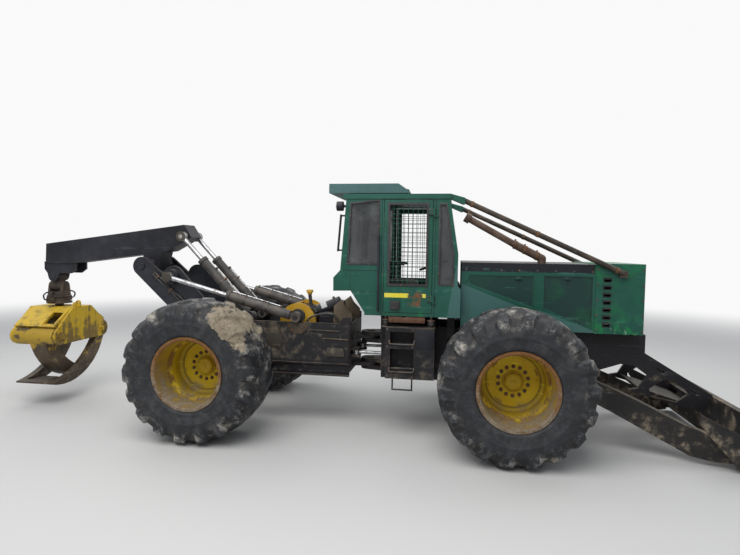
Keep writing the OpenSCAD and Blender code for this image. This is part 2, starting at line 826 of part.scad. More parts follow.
// Push arm: straight from its pivot to the bend, then flared out to the mouldboard's back
module push_arm() {
    p = [blade_pivot_x, blade_pivot_z];
    difference() {
        union() {
            side(-arm_out_y, -arm_in_y) {
                translate(p) circle(r = 115);
                polygon([p + [0, 115], [970, 820], [arm_flare_x, 757], [arm_flare_x, 481], [1000, 540], p - [0, 115]]);
            }
            translate([arm_flare_x, -arm_out_y, 0]) rotate([0, 0, -arm_flare]) translate([-arm_flare_x, arm_out_y, 0])
                side(-arm_out_y, -arm_in_y - 30)
                    polygon([[arm_flare_x - 40, 765], [arm_flare_x, 755], [1431, 630], [1857, 440], [2189, 330],
                             [2470, 260], [2470, 75], [2189, 55], [1961, 85], [1463, 320], [arm_flare_x, 483],
                             [arm_flare_x - 40, 500]]);
            // Ear of the lift cylinder
            side(-blade_ram_y + 32, -blade_ram_y + 42) link(blade_ram_eye, 55, blade_ram_eye + [60, -130], 55);
            block([blade_ram_eye[0] - 30, -arm_in_y, 720], [blade_ram_eye[0] + 110, -blade_ram_y + 32, 752]);
        }
        pin_y(p, small_ram_r + running_gap, -arm_out_y - 1, -arm_in_y + 1);
        block([blade_back_x - weld_gap, -blade_half_w, 0], [blade_back_x + 200, 0, blade_pivot_z]);
    }
}

module blade_barrels() {
    color(black) from_front_axle() both_sides()
        ram_line(blade_ram_base, blade_ram_eye, -blade_ram_y)
            ram_barrel(small_ram_r, 560, small_rod_r, small_eye_r, 60, small_pin_r);
}

module blade_rods() {
    color(steel) from_front_axle() both_sides()
        ram_line(blade_ram_base, blade_ram_eye, -blade_ram_y)
            ram_rod(small_ram_r, 330, norm(blade_ram_eye - blade_ram_base), small_rod_r, small_eye_r, 58,
                    small_pin_r, 62);
}

// Steering cylinders lie flat between the two frames
module steer_line(right) {
    s = right ? -1 : 1;
    a = [steer_front[0], s * steer_front[1], steer_z];
    b = [steer_rear[0], s * steer_rear[1], steer_z];
    translate(a) rotate([0, 0, atan2(b[1] - a[1], b[0] - a[0])]) rotate([0, 90, 0]) rotate([0, 0, 90]) children();
}

steer_length = norm(steer_rear - steer_front);

module steer_barrel() {
    color(black) ram_barrel(small_ram_r, 640, small_rod_r, small_eye_r, 60, small_pin_r);
}

module steer_rod() {
    color(steel) ram_rod(small_ram_r, 335, steer_length, small_rod_r, small_eye_r, 56, small_pin_r, 60);
}

module steer_barrel_right() { from_front_axle() steer_line(true) steer_barrel(); }
module steer_rod_right() { from_front_axle() steer_line(true) steer_rod(); }
module steer_barrel_left() { from_front_axle() steer_line(false) steer_barrel(); }
module steer_rod_left() { from_front_axle() steer_line(false) steer_rod(); }

// Rear frame: two side plates joined by the nose plate with its belly, and by the tow plate
module rear_frame() {
    inner = frame_in - weld_gap;
    color(black) from_front_axle() {
        both_sides() rear_side_plate();
        difference() {
            union() {
                block([rear_nose_x - 40, -inner, 700], [rear_nose_x, inner, 1330]);
                block([rear_axle_x + 560, -inner, 700], [rear_nose_x - 40, inner, 735]);
                rear_ears();
            }
            for (z = [pivot_low_z, pivot_top_z]) {
                translate([pivot_x, 0, z - 60]) cylinder(r = pivot_pin_r + running_gap, h = 120);
            }
            // Windows behind the eyes of the steering rods
            both_sides() block([rear_nose_x - 50, 10 - frame_in, steer_z - 32], [rear_nose_x + 10, -150, steer_z + 32]);
        }
        difference() {
            block([rear_end_x + 115, -inner, 840], [rear_end_x + 200, inner, 880]);
            translate([rear_end_x + 150, 0, 830]) cylinder(r = tow_hole_r, h = 60);
        }
    }
}

// Side plate with the pins of the arch and of its cylinder, and a slot for the axle
module rear_side_plate() {
    side(-frame_half_w, -frame_in) difference() {
        union() {
            polygon([
                [rear_nose_x, 700], [rear_nose_x, 1421], [rear_nose_x - 100, 1421],
                [rear_nose_x - 150, frame_top_z], [rear_end_x + 160, frame_top_z],
                [rear_end_x, 1200], [rear_end_x, 960], [rear_end_x + 120, 840], [rear_axle_x + 360, 840],
                [rear_axle_x + 560, 700]
            ]);
            translate(arch_ram_base) circle(r = 95);
        }
        translate([rear_axle_x, axle_z]) circle(r = axle_tube_r + weld_gap);
        translate([rear_axle_x - axle_tube_r - weld_gap, 600]) square([2 * axle_tube_r + 2 * weld_gap, axle_z - 600]);
    }
    pin_y(arch_pin, arch_pin_r, -frame_half_w - 25, -arch_in + 20);
    pin_y(arch_ram_base, ram_pin_r, -arch_ram_y - eye_w / 2 - 15, -frame_in);
    pin_y(arch_ram_base, 60, -arch_ram_y + eye_w / 2 + 5, -frame_half_w);
}

// The rear frame's steering ears and the ears for the steering cylinders' rods
module rear_ears() {
    for (z = [pivot_low_z, pivot_top_z]) {
        translate([0, 0, z - pivot_ear_t / 2]) linear_extrude(pivot_ear_t)
            link([rear_nose_x - 20, 0], 170, [pivot_x, 0], pivot_ear_r);
    }
    both_sides() for (z = [steer_z - 60, steer_z + 32]) {
        translate([0, 0, z]) linear_extrude(28)
            link([rear_nose_x - 20, -steer_rear[1]], 80, [steer_rear[0], -steer_rear[1]], 60);
    }
}

module rear_axle() {
    color(black) from_front_axle() axle(rear_axle_x);
}

// Winch between the rear frame's plates
winch_x = rear_axle_x + 950;
winch_z = 1330;
drum_r = 140;

module winch_housing() {
    color(yellow) from_front_axle() {
        both_sides() difference() {
            side(-290, -250) {
                translate([winch_x, winch_z]) circle(r = 250);
                polygon([[winch_x - 248, winch_z], [winch_x - 190, 735.3], [winch_x + 230, 735.3], [winch_x + 248, winch_z]]);
            }
            pin_y([winch_x, winch_z], 45 + running_gap, -300, -240);
        }
        block([winch_x - 190, -290, 735.3], [winch_x + 230, 290, 790]);
        for (at = [[150, 175], [-90, 212], [-150, -175]]) {
            pin_y([winch_x, winch_z] + at, 17, -260, 260);
        }
    }
}

module winch_drum() {
    color(steel) from_front_axle() {
        pin_y([winch_x, winch_z], 45, -289, 289);
        pin_y([winch_x, winch_z], drum_r, -225, 225);
        pin_y([winch_x, winch_z], 200, -245, -225);
        pin_y([winch_x, winch_z], 200, 225, 245);
    }
}

// Oil filters and valve block in front of the winch
module oil_filters() {
    color(black) from_front_axle() {
        x = winch_x + 300;
        block([x - 20, weld_gap - frame_in, 1270], [x + 210, frame_in - weld_gap, 1300]);
        block([x, -260, 1300], [x + 190, 260, 1440]);
        bar([x - 40, -200, 1480], [x + 270, -200, 1610], 76);
        block([x + 40, -240, 1440], [x + 160, -160, 1500]);
        bar([x, 120, 1505], [x + 260, 120, 1545], 55);
        block([x + 60, 90, 1440], [x + 160, 150, 1480]);
    }
}

// Side outline of the arch
module arch_outline() {
    link(arch_pin, 160, boom_pin, 132);
    link(arch_pin + [-60, 200], 115, boom_ram_base, 90);
    link(arch_pin + [-120, 260], 160, arch_ram_eye, 150);
}

module arch() {
    color(black) from_front_axle() difference() {
        union() {
            both_sides() {
                side(-arch_half_w, -arch_in) arch_outline();
                pin_y(arch_ram_eye, 105, -arch_ram_y + eye_w / 2 + 2, -arch_half_w);
                // Pins of the boom cylinders
                pin_y(boom_ram_base, ram_pin_r, -arch_in, -boom_ram_y + eye_w / 2 + 15);
            }
            // Cross tubes and the back plate
            pin_y(arch_pin + [-155, 35], 45, -arch_in, arch_in);
            side(-arch_in, arch_in) translate(arch_pin) polygon([[-250, 5], [-215, 40], [-670, 445], [-705, 410]]);
        }
        pin_y(arch_pin, arch_pin_r + running_gap, -arch_half_w - 1, arch_half_w + 1);
        pin_y(boom_pin, boom_pin_r + running_gap, -arch_half_w - 1, arch_half_w + 1);
    }
}

module arch_barrels() {
    color(black) from_front_axle() both_sides()
        ram_line(arch_ram_base, arch_ram_eye, -arch_ram_y)
            ram_barrel(ram_r, 985, rod_r, eye_r, eye_w, ram_pin_r);
}

module arch_rods() {
    color(steel) from_front_axle() both_sides()
        ram_line(arch_ram_base, arch_ram_eye, -arch_ram_y)
            ram_rod(ram_r, 590, norm(arch_ram_eye - arch_ram_base), rod_r, eye_r, eye_w, ram_pin_r, eye_w + 2);
}

// Hoses clipped along the arch plates
module arch_hoses() {
    color(black) from_front_axle() both_sides() {
        d = boom_pin - arch_pin;
        u = d / norm(d);
        v = [u[1], -u[0]];
        for (off = [40, 75]) {
            a = arch_pin + 300 * u + off * v;
            b = arch_pin + 1250 * u + off * v;
            bar([a[0], -arch_half_w - 14.3, a[1]], [b[0], -arch_half_w - 14.3, b[1]], 14);
        }
    }
}

// Boom: a tapered box with a heel that the boom cylinders push
module boom() {
    color(black) from_front_axle() {
        difference() {
            union() {
                side(-boom_half_w, boom_half_w) {
                    translate(boom_pin)
                        polygon([[-1690, 299], [519, 593], [634, 417], [260, 210], [-1271, 13], [-1705, 13]]);
                    link(boom_pin, 120, boom_pin + [40, 260], 150);
                }
                pin_y(boom_pin, boom_pin_r, -arch_half_w - 20, arch_half_w + 20);
                pin_y(boom_pin, 90, -arch_in + plate_gap, arch_in - plate_gap);
                // Fork under the tip
                both_sides() side(-125, -90) {
                    link([grapple_x, swing_z], 75, [grapple_x, 2000], 110);
                    translate([grapple_x, 0])
                        polygon([[-137, 2070], [-137, 1960], [-90, 1900], [300, 1900], [386, 1960], [386, 2080]]);
                }
                pin_y([grapple_x, swing_z], swing_pin_r, -135, 135);
            }
        }
    }
}

module boom_barrels() {
    color(black) from_front_axle() both_sides()
        ram_line(boom_ram_base, boom_ram_eye, -boom_ram_y)
            ram_barrel(ram_r, 1065, rod_r, eye_r, eye_w, ram_pin_r);
}

module boom_rods() {
    color(steel) from_front_axle() both_sides()
        ram_line(boom_ram_base, boom_ram_eye, -boom_ram_y)
            ram_rod(ram_r, 480, norm(boom_ram_eye - boom_ram_base), rod_r, eye_r, eye_w, ram_pin_r, eye_w + 20);
}

// Link between the fore-and-aft pin and the sideways pin
module swing_link() {
    color(rust) from_front_axle() difference() {
        union() {
            pin_y([grapple_x, swing_z], 78, -80, 80);
            block([grapple_x - 60, -60, swing_low_z], [grapple_x + 60, 60, swing_z]);
            pin_x([0, swing_low_z], 78, grapple_x - 80, grapple_x + 80);
        }
        pin_y([grapple_x, swing_z], swing_pin_r + running_gap, -90, 90);
        pin_x([0, swing_low_z], swing_pin_r + running_gap, grapple_x - 90, grapple_x + 90);
    }
}

// Hydraulic rotator hung from the sideways pin
module rotator() {
    color(black) from_front_axle() {
        pin_x([0, swing_low_z], swing_pin_r, grapple_x - 125, grapple_x + 125);
        for (x = [grapple_x - 120, grapple_x + 85]) {
            across(x, x + 35) link([0, swing_low_z], 75, [0, swing_low_z - 130], 95);
        }
        translate([grapple_x, 0, 1440]) cylinder(r = 150, h = swing_low_z - 85 - 1440);
        translate([grapple_x, 0, head_top_z - 80]) cylinder(r = 60, h = 1440 - head_top_z + 80);
    }
}

// Grapple head: end plates with the tongs' pins, under a sloping roof
module grapple_head() {
    lobe = 120;
    plate = 40;
    color(yellow) from_front_axle() {
        difference() {
            for (x = [head_front_x, head_rear_x]) {
                across(x, x + plate) {
                    link([-tong_pin_y, tong_pin_z], lobe, [tong_pin_y, tong_pin_z], lobe);
                    polygon([[-tong_pin_y - lobe * 0.7, tong_pin_z + lobe * 0.7], [-190, head_top_z],
                             [190, head_top_z], [tong_pin_y + lobe * 0.7, tong_pin_z + lobe * 0.7]]);
                }
            }
            both_sides() pin_x([-tong_pin_y, tong_pin_z], tong_pin_r + weld_gap, head_rear_x - 10, head_front_x + 50);
        }
        both_sides() pin_x([-tong_pin_y, tong_pin_z], tong_pin_r, head_rear_x - 25, head_front_x + 65);
        // Roof between the end plates: a flat top and two slopes
        difference() {
            across(head_rear_x + plate + weld_gap, head_front_x - weld_gap)
                polygon([[-175, head_top_z - 30], [-190, head_top_z], [190, head_top_z], [175, head_top_z - 30]]);
            translate([grapple_x, 0, head_top_z - 100]) cylinder(r = 60 + running_gap, h = 200);
        }
        both_sides() difference() {
            across(head_rear_x + plate + weld_gap, head_front_x - weld_gap)
                polygon([[-tong_pin_y - 90, tong_pin_z + 150], [-190 - weld_gap, head_top_z - weld_gap],
                         [-175 - weld_gap, head_top_z - 30 - weld_gap], [-tong_pin_y - 60, tong_pin_z + 130]]);
            // Opening above the tong's hub
            block([head_front_x - 210, -600, tong_pin_z + 175], [head_front_x - 40, 0, head_top_z - 70]);
        }
        // Lug on the front plate
        side(-80, -50) difference() {
            union() {
                translate([head_front_x + 20, head_top_z + 60]) circle(r = 36);
                translate([head_front_x - 60, head_top_z + weld_gap]) square([116, 60]);
            }
            translate([head_front_x + 20, head_top_z + 60]) circle(r = 16);
        }
    }
}

// Curved outline of the right tong in Y and Z, deep in its middle and thin at its tip.
// end_y is where its tip ends.
module tong_curve(end_y) {
    intersection() {
        difference() {
            translate([296, 1167]) circle(r = tong_out_r, $fn = 96);
            translate([656, 1539]) circle(r = 1199, $fn = 96);
        }
        polygon([[-700, tong_pin_z + 40], [-700, 200], [end_y, 200], [end_y - 25, 700], [-300, tong_pin_z + 40]]);
    }
}

// Ear above the hinge that the tong cylinder pushes
tong_ear = [-361, 1178];
tong_ear_r = 50;

// Hub and ears of a tong
module tong_hub(r) {
    pin_x([-tong_pin_y, tong_pin_z], r, head_rear_x + 45, head_front_x - plate_gap);
    for (x = [grapple_x - 60, grapple_x + 35]) {
        across(x, x + 25) link([-tong_pin_y, tong_pin_z], r - 10, tong_ear, tong_ear_r);
    }
}

// Right tong: one arm that passes between the left tong's arms
module tong_right() {
    x = grapple_x - 35;
    color(rust) from_front_axle() difference() {
        union() {
            across(x, x + tong_arm_w) tong_curve(120);
            tong_hub(tong_tube_r);
            pin_x(tong_ear, 25, grapple_x - 68, grapple_x + 68);
        }
        pin_x([-tong_pin_y, tong_pin_z], tong_pin_r + running_gap, head_rear_x - 300, head_front_x + 100);
    }
}

// Left tong: two arms joined by a wide thin tip that passes under the right tong
module tong_left() {
    low_x = head_rear_x + 50;
    high_x = head_front_x - 10;
    color(rust) from_front_axle() mirror([0, 1, 0]) difference() {
        union() {
            across(low_x, low_x + tong_side_w) tong_curve(540);
            across(high_x - tong_side_w, high_x) tong_curve(540);
            across(low_x, high_x) intersection() {
                tong_curve(540);
                difference() {
                    translate([180, 200]) square([500, 400]);
                    translate([296, 1167]) circle(r = tong_out_r - tong_tip_t, $fn = 96);
                }
            }
            tong_hub(tong_tube_r - 25);
        }
        pin_x([-tong_pin_y, tong_pin_z], tong_pin_r + running_gap, head_rear_x - 300, head_front_x + 100);
    }
}

// Tong cylinder across the head, from the right tong's ear to the left tong's ear
module tong_ram_place() {
    translate([grapple_x, tong_ear[0], tong_ear[1]]) rotate([-90, 0, 0]) rotate([0, 0, 90]) children();
}

module tong_barrel() {
    color(black) from_front_axle() tong_ram_place() ram_barrel(52, 430, 28, 50, 60, 25);
}

module tong_rod() {
    color(steel) from_front_axle() tong_ram_place() ram_rod(52, 320, -2 * tong_ear[0], 28, 44, 60, 25, 64);
}

front_frame();
front_axle();
engine();
hood();
exhaust();
limb_risers();
cab_shell();
cab_glass();
roof_box();
work_lights();
handrails();
seat();
console();
step_box_right();
step_box_left();
door_right();
door_left();
tyre_front_right();
rim_front_right();
tyre_front_left();
rim_front_left();
tyre_rear_right();
rim_rear_right();
tyre_rear_left();
rim_rear_left();
blade();
blade_barrels();
blade_rods();
steer_barrel_right();
steer_rod_right();
steer_barrel_left();
steer_rod_left();
rear_frame();
rear_axle();
winch_housing();
winch_drum();
oil_filters();
arch();
arch_barrels();
arch_rods();
arch_hoses();
boom();
boom_barrels();
boom_rods();
swing_link();
rotator();
grapple_head();
tong_right();
tong_left();
tong_barrel();
tong_rod();
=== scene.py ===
import math
import random
import bpy
import bmesh
from mathutils import Matrix, Vector, noise


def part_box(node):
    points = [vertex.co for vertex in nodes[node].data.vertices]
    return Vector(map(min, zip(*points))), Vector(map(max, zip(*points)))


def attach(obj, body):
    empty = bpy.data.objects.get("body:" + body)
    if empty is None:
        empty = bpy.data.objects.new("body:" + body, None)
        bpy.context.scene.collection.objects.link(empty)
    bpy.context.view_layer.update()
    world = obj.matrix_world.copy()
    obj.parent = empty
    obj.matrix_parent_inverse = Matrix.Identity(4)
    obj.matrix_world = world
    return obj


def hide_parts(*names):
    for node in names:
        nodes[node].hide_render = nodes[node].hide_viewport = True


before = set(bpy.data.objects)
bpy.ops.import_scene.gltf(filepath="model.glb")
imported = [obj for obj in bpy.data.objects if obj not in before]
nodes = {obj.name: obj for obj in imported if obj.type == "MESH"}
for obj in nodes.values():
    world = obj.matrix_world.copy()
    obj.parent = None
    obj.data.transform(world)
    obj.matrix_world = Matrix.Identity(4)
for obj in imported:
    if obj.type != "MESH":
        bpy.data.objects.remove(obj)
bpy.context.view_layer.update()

scene = bpy.context.scene
scene.view_settings.view_transform = "Standard"
mm = 1000  # in a metre


def mid(node):
    low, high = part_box(node)
    return (low + high) / 2


def linked(name, data):
    made = bpy.data.objects.new(name, data)
    scene.collection.objects.link(made)
    return made


def angles(count, shift=0):
    return [2 * math.pi * (i + shift) / count for i in range(count)]


# Places read from the frame, in metres
axleX, axleZ = mid("rim_front_right").x, mid("rim_front_right").z  # front axle
rearAxleX = mid("rim_rear_right").x
wheelY = abs(mid("tyre_front_right").y)
print("stage: frame loaded")

cameraLook = dict(x=-0.70, y=-7.06, z=2.32, yaw=9.06, pitch=-3.10, roll=0.80, focalPixels=520, imageWidth=740,
                  sensor=36, clip=200)


def makeCamera(look):
    yaw, pitch, roll = (math.radians(look[k]) for k in ("yaw", "pitch", "roll"))
    ahead = Vector((-math.sin(yaw) * math.cos(pitch), math.cos(yaw) * math.cos(pitch), math.sin(pitch)))
    side = ahead.cross(Vector((0, 0, 1))).normalized()
    up = side.cross(ahead)
    right = side * math.cos(roll) + up * math.sin(roll)
    top = up * math.cos(roll) - side * math.sin(roll)
    data = bpy.data.cameras.new("camera")
    data.sensor_width = look["sensor"]
    data.lens = look["sensor"] * look["focalPixels"] / look["imageWidth"]
    data.clip_end = look["clip"]
    place = Matrix((right, top, -ahead)).transposed().to_4x4()
    place.translation = (axleX + look["x"], look["y"], look["z"])
    scene.camera = linked("camera", data)
    scene.camera.matrix_world = place


makeCamera(cameraLook)


class Wire:
    # one socket of a node tree: arithmetic on it adds Math nodes, node() adds any other
    def __init__(self, tree, socket=None):
        self.tree, self.socket = tree, socket

    def node(self, kind, settings=None, values=None, out=0):
        made = self.tree.nodes.new(kind)
        for key, value in (settings or {}).items():
            setattr(made, key, value)
        for key, value in (values or {}).items():
            socket = made.inputs[key]
            if isinstance(value, Wire):
                self.tree.links.new(value.socket, socket)
            else:
                socket.default_value = (*value, 1) if socket.type == "RGBA" else value
        return Wire(self.tree, made.outputs[out]) if made.outputs else None

    def maths(self, what, other=0, swapped=False):
        pair = (other, self) if swapped else (self, other)
        return self.node("ShaderNodeMath", {"operation": what}, dict(enumerate(pair)))

    def __add__(self, other):
        return self.maths("ADD", other)

    def __sub__(self, other):
        return self.maths("SUBTRACT", other)

    def __rsub__(self, other):
        return self.maths("SUBTRACT", other, swapped=True)

    def __mul__(self, other):
        return self.maths("MULTIPLY", other)

    __radd__, __rmul__ = __add__, __mul__

    def most(self, other):
        return self.maths("MAXIMUM", other)

    def least(self, other):
        return self.maths("MINIMUM", other)

    def step(self, low, high):
        # 0 below low, 1 above high, smooth between
        return self.node("ShaderNodeMapRange", {"interpolation_type": "SMOOTHSTEP"},
                         {"Value": self, "From Min": low, "From Max": high})

    def blend(self, first, second):
        # colour mix with this as the factor
        return self.node("ShaderNodeMix", {"data_type": "RGBA"}, {0: self, 6: first, 7: second}, out=2)


finish = {}  # the materials by name


def newMaterial(name):
    made = finish[name] = bpy.data.materials.new(name)
    made.use_nodes = True
    made.node_tree.nodes.clear()
    return Wire(made.node_tree)


def objectPlace(tree):
    return tree.node("ShaderNodeTexCoord", out=3)


def axes(tree, vector, *which):
    return (tree.node("ShaderNodeSeparateXYZ", {}, {0: vector}, out=i) for i in which)


def cloud(tree, scale, detail, rough, stretch=None):
    # noise on Object coordinates; stretch squeezes it along an axis
    at = objectPlace(tree)
    if stretch:
        at = tree.node("ShaderNodeMapping", {}, {"Vector": at, "Scale": stretch})
    return tree.node("ShaderNodeTexNoise", {}, {"Vector": at, "Scale": scale, "Detail": detail, "Roughness": rough})


def bands(tree, direction, scale, **more):
    return tree.node("ShaderNodeTexWave", {"wave_type": "BANDS", "bands_direction": direction},
                     {"Vector": objectPlace(tree), "Scale": scale, **more}, out=1)


def relief(tree, strength, distance, height, **more):
    return tree.node("ShaderNodeBump", {}, {"Strength": strength, "Distance": distance, "Height": height, **more})


def finishMaterial(tree, colour, roughness, metallic, bump, **fixed):
    shader = tree.node("ShaderNodeBsdfPrincipled", {}, {
        "Base Color": colour, "Roughness": roughness, "Metallic": metallic, "Normal": bump, **fixed})
    tree.node("ShaderNodeOutputMaterial", {}, {"Surface": shader})


def softEdges(tree, radius):
    return tree.node("ShaderNodeBevel", {"samples": 4}, {"Radius": radius})


def edgeMask(tree, radius):
    # 1 along outer edges, where the rounded normal leaves the true one
    true = tree.node("ShaderNodeNewGeometry", out=1)
    dot = tree.node("ShaderNodeVectorMath", {"operation": "DOT_PRODUCT"}, {0: softEdges(tree, radius), 1: true}, out=1)
    return (1 - dot).step(0.02, 0.22)


def upward(tree):
    return next(axes(tree, tree.node("ShaderNodeNewGeometry", out=1), 2))


dirtColour = dict(mud=(0.13, 0.100, 0.068), dryMud=(0.30, 0.245, 0.175), rust=(0.120, 0.045, 0.020),
                  paleRust=(0.230, 0.105, 0.050), dust=(0.25, 0.22, 0.175))


def rect(left, low, right, high):
    return [(left, low), (right, low), (right, high), (left, high)]


def region(x, z, corners, soft=4):
    # 1 inside a convex outline that runs anticlockwise in X and Z
    inside = None
    for a, b in zip(corners, corners[1:] + corners[:1]):
        wide, tall = b[0] - a[0], b[1] - a[1]
        length = math.hypot(wide, tall)
        away = (z - a[1]) * (wide / length) - (x - a[0]) * (tall / length)
        inside = away if inside is None else inside.least(away)
    return inside.step(-soft, soft)


def rusty(grit, low, high):
    return grit.step(low, high).blend(dirtColour["rust"], dirtColour["paleRust"])


def paintedSteel(name, paint, faded, chips=0.7, rust=0.5, mud=0, mudTop=1100, dust=0.3, gloss=0.5, patch=1.1,
                 streak=0.3, bumpiness=0.22, zones=None, rustAt=None, mudAt=None):
    # old machine paint: sun-faded patches, scratches, chipped rusty edges, dust above and mud below
    tree = newMaterial(name)
    x, y, z = axes(tree, objectPlace(tree), 0, 1, 2)
    x, y, z = (x - axleX) * mm, y * mm, z * mm  # from the front axle, the middle plane and the ground
    broad = cloud(tree, patch, 4, 0.55)
    fine = cloud(tree, 9.0, 8, 0.65)
    grit = cloud(tree, 60.0, 6, 0.7)
    runs = cloud(tree, 7.0, 5, 0.6, (1, 1, 0.08))
    here = (tree, x, y, z, broad, fine)
    colour = (broad * 0.7 + fine * 0.3).step(0.38, 0.66).blend(paint, faded)
    for tone, mask in zones(*here) if zones else ():
        colour = mask.blend(colour, tone)
    line = cloud(tree, 16.0, 3, 0.5, (0.05, 0.05, 1.4))
    scratch = line.step(0.62, 0.66) * fine.step(0.45, 0.6) * 0.4
    colour = scratch.blend(colour, [min(1, c * 1.7 + 0.03) for c in faded])
    colour = (runs.step(0.55, 0.8) * streak).blend(colour, [c * 0.35 for c in paint])
    chipMask = (edgeMask(tree, 0.010) * grit.step(0.44, 0.58) * chips * 1.4).most(
        fine.step(0.70, 0.74) * grit.step(0.45, 0.55) * chips)
    rustMask = (broad * 0.4 + fine * 0.6).step(0.62, 0.70) * rust
    if rustAt:
        rustMask = rustMask.most(rustAt(*here))
    allRust = chipMask.most(rustMask).least(1.0)
    colour = allRust.blend(colour, rusty(grit, 0.35, 0.65))
    dustMask = upward(tree).step(0.35, 0.98) * (0.15 + fine.step(0.3, 0.7) * 0.75) * dust
    low = 1 - z.step(mudTop * 0.3, mudTop)
    mudMask = low * (broad * 0.5 + fine * 0.5).step(0.50, 0.62) * mud
    if mudAt:
        mudMask = mudMask.most(mudAt(*here))
    mudMask = mudMask.least(0.92)
    colour = dustMask.least(0.9).blend(colour, dirtColour["dust"])
    mudTone = (grit * 0.5 + fine * 0.5).step(0.38, 0.62).blend(dirtColour["mud"], dirtColour["dryMud"])
    roughness = (gloss + fine * 0.15 + allRust * 0.35 + mudMask.most(dustMask) * 0.45).least(0.95)
    height = grit * 0.25 + fine * 0.3 - allRust * 0.4 + mudMask * (0.6 + grit)
    finishMaterial(tree, mudMask.blend(colour, mudTone), roughness, 0.0,
                   relief(tree, bumpiness, 0.004, height, Normal=softEdges(tree, 0.005)), **{"Specular IOR Level": 0.3})


def bareMetal(name, tone, dark, roughness, rust, metallic=0.9):
    tree = newMaterial(name)
    fine = cloud(tree, 14.0, 7, 0.6)
    grit = cloud(tree, 80.0, 5, 0.6)
    rustMask = cloud(tree, 5.0, 8, 0.7).step(0.60 - rust * 0.25, 0.66) * 0.9
    colour = rustMask.blend(fine.step(0.35, 0.7).blend(tone, dark), rusty(grit, 0.4, 0.6))
    finishMaterial(tree, colour, (roughness + fine * 0.2 + rustMask * 0.4).least(0.95),
                   metallic - rustMask * (metallic * 0.8),
                   relief(tree, 0.2, 0.002, grit, Normal=softEdges(tree, 0.003)))


greens = dict(panel=(0.010, 0.078, 0.052), faded=(0.020, 0.102, 0.076), teal=(0.056, 0.142, 0.128),
              inset=(0.010, 0.040, 0.034), bright=(0.010, 0.185, 0.055), roof=(0.050, 0.125, 0.120),
              black=(0.010, 0.011, 0.015))


def doorRust(tree, x, y, z, broad, fine):
    # paint torn off beside the strip on the right door
    torn = region(x, z, [(-1246, 1650), (-1090, 1630), (-1070, 1790), (-1130, 1812), (-1232, 1800)], 22)
    return (torn * (broad * 0.3 + fine * 0.7).step(0.42, 0.52) * (1 - y.step(-10, 10))).least(0.95)


def cabZones(tree, x, y, z, broad, fine):
    # lighter front corner under the windscreen, fresh green where the door frame is rubbed, dark seams
    front = region(x, z, [(-560, 1350), (-560, 2260), (-628, 2260), (-698, 1912), (-786, 1350)])
    rubbed = (broad * 0.4 + fine * 0.6).step(0.50, 0.60) * region(x, z, rect(-1560, 1480, -960, 1980), 70)
    hem = region(x, z, rect(-800, 1300, -560, 1445), 25) * fine.step(0.4, 0.55)
    seams = None
    for seam in ((-1961, 1794, -1956, 2056), (-1954, 1795, -1619, 1801), (-2050, 2053, -1619, 2061),
                 (-1572, 1505, -1563, 2932), (-921, 1505, -912, 2932)):
        line = region(x, z, rect(*seam), 1.5)
        seams = seams.most(line) if seams else line
    return [(greens["teal"], front), (greens["bright"], rubbed * 0.75), (greens["bright"], hem),
            (greens["black"], seams * 0.85)]


def hoodZones(tree, x, y, z, broad, fine):
    # lighter teal wedges round dark inset panels, worn grille box, black top, and painted shade in the louvre slots
    # under the lips
    teal = region(x, z, [(-640, 1300), (300, 1300), (300, 1590), (-575, 1910), (-640, 1935)])
    wedge = region(x, z, [(318, 1300), (1000, 1300), (1000, 1370), (844, 1435), (318, 1622)])
    rear = region(x, z, [(-497, 1925), (247, 1660), (252, 2024), (-500, 2006)])
    middle = region(x, z, [(382, 1605), (844, 1442), (936, 1400), (936, 2040), (375, 2036)])
    patches = (broad * 0.5 + cloud(tree, 3.2, 5, 0.55) * 0.5).step(0.46, 0.62)
    box = x.step(949, 955)
    scraped = (fine.step(0.50, 0.62) * (1 - z.step(1400, 1640)) + patches * 0.8) * box
    pale = cloud(tree, 26.0, 5, 0.6, (1, 1, 0.5)).step(0.60, 0.66) * (1 - z.step(1400, 1520)) * box
    # painted shade: black bands in the slots under each louvre lip
    slot = (z - 1439).maths("MODULO", 88)
    louvres = slot.step(0, 2) * (1 - slot.step(60, 62)) * x.step(1044, 1046) * (1 - x.step(1134, 1136))
    louvres = louvres * z.step(1436, 1440) * (1 - z.step(2060, 2064))
    return [(greens["teal"], teal.most(wedge)), (greens["inset"], rear.most(middle)),
            (greens["bright"], patches * rear * 0.25), (greens["bright"], patches * middle * 0.55),
            (greens["bright"], scraped.least(0.8)), ((0.30, 0.42, 0.34), pale * 0.8),
            (greens["black"], z.step(2066, 2072) * (1 - box)), (greens["black"], louvres)]


def roofZones(tree, x, y, z, broad, fine):
    return [(greens["roof"], upward(tree).step(0.6, 0.9))]


def frameMud(tree, x, y, z, broad, fine):
    # dried tan mud over the upper half of the rear frame's sides
    return (broad * 0.35 + fine * 0.65).step(0.47, 0.66) * region(x, z, rect(-3400, 850, -1905, 1345), 20) * 0.7


def headZones(tree, x, y, z, broad, fine):
    # brown grime runs down the yellow paint and gathers along its lower half
    runs = cloud(tree, 9.0, 6, 0.65, (1, 1, 0.10))
    low = 1 - z.step(930, 1250)
    grime = (runs * 0.6 + fine * 0.4 + low * 0.10).step(0.50, 0.60)
    return [((0.125, 0.085, 0.036), grime * 0.85), ((0.050, 0.036, 0.024), runs.step(0.60, 0.68) * low * 0.8)]


def tongZones(tree, x, y, z, broad, fine):
    # yellow left on the tongs' upper outer faces
    kept = (broad * 0.35 + fine * 0.65 + z.step(600, 1050) * 0.16).step(0.56, 0.63)
    return [((0.48, 0.31, 0.03), kept * z.step(560, 700) * 0.9), ((0.040, 0.028, 0.020), (1 - z.step(470, 640)) * 0.8)]


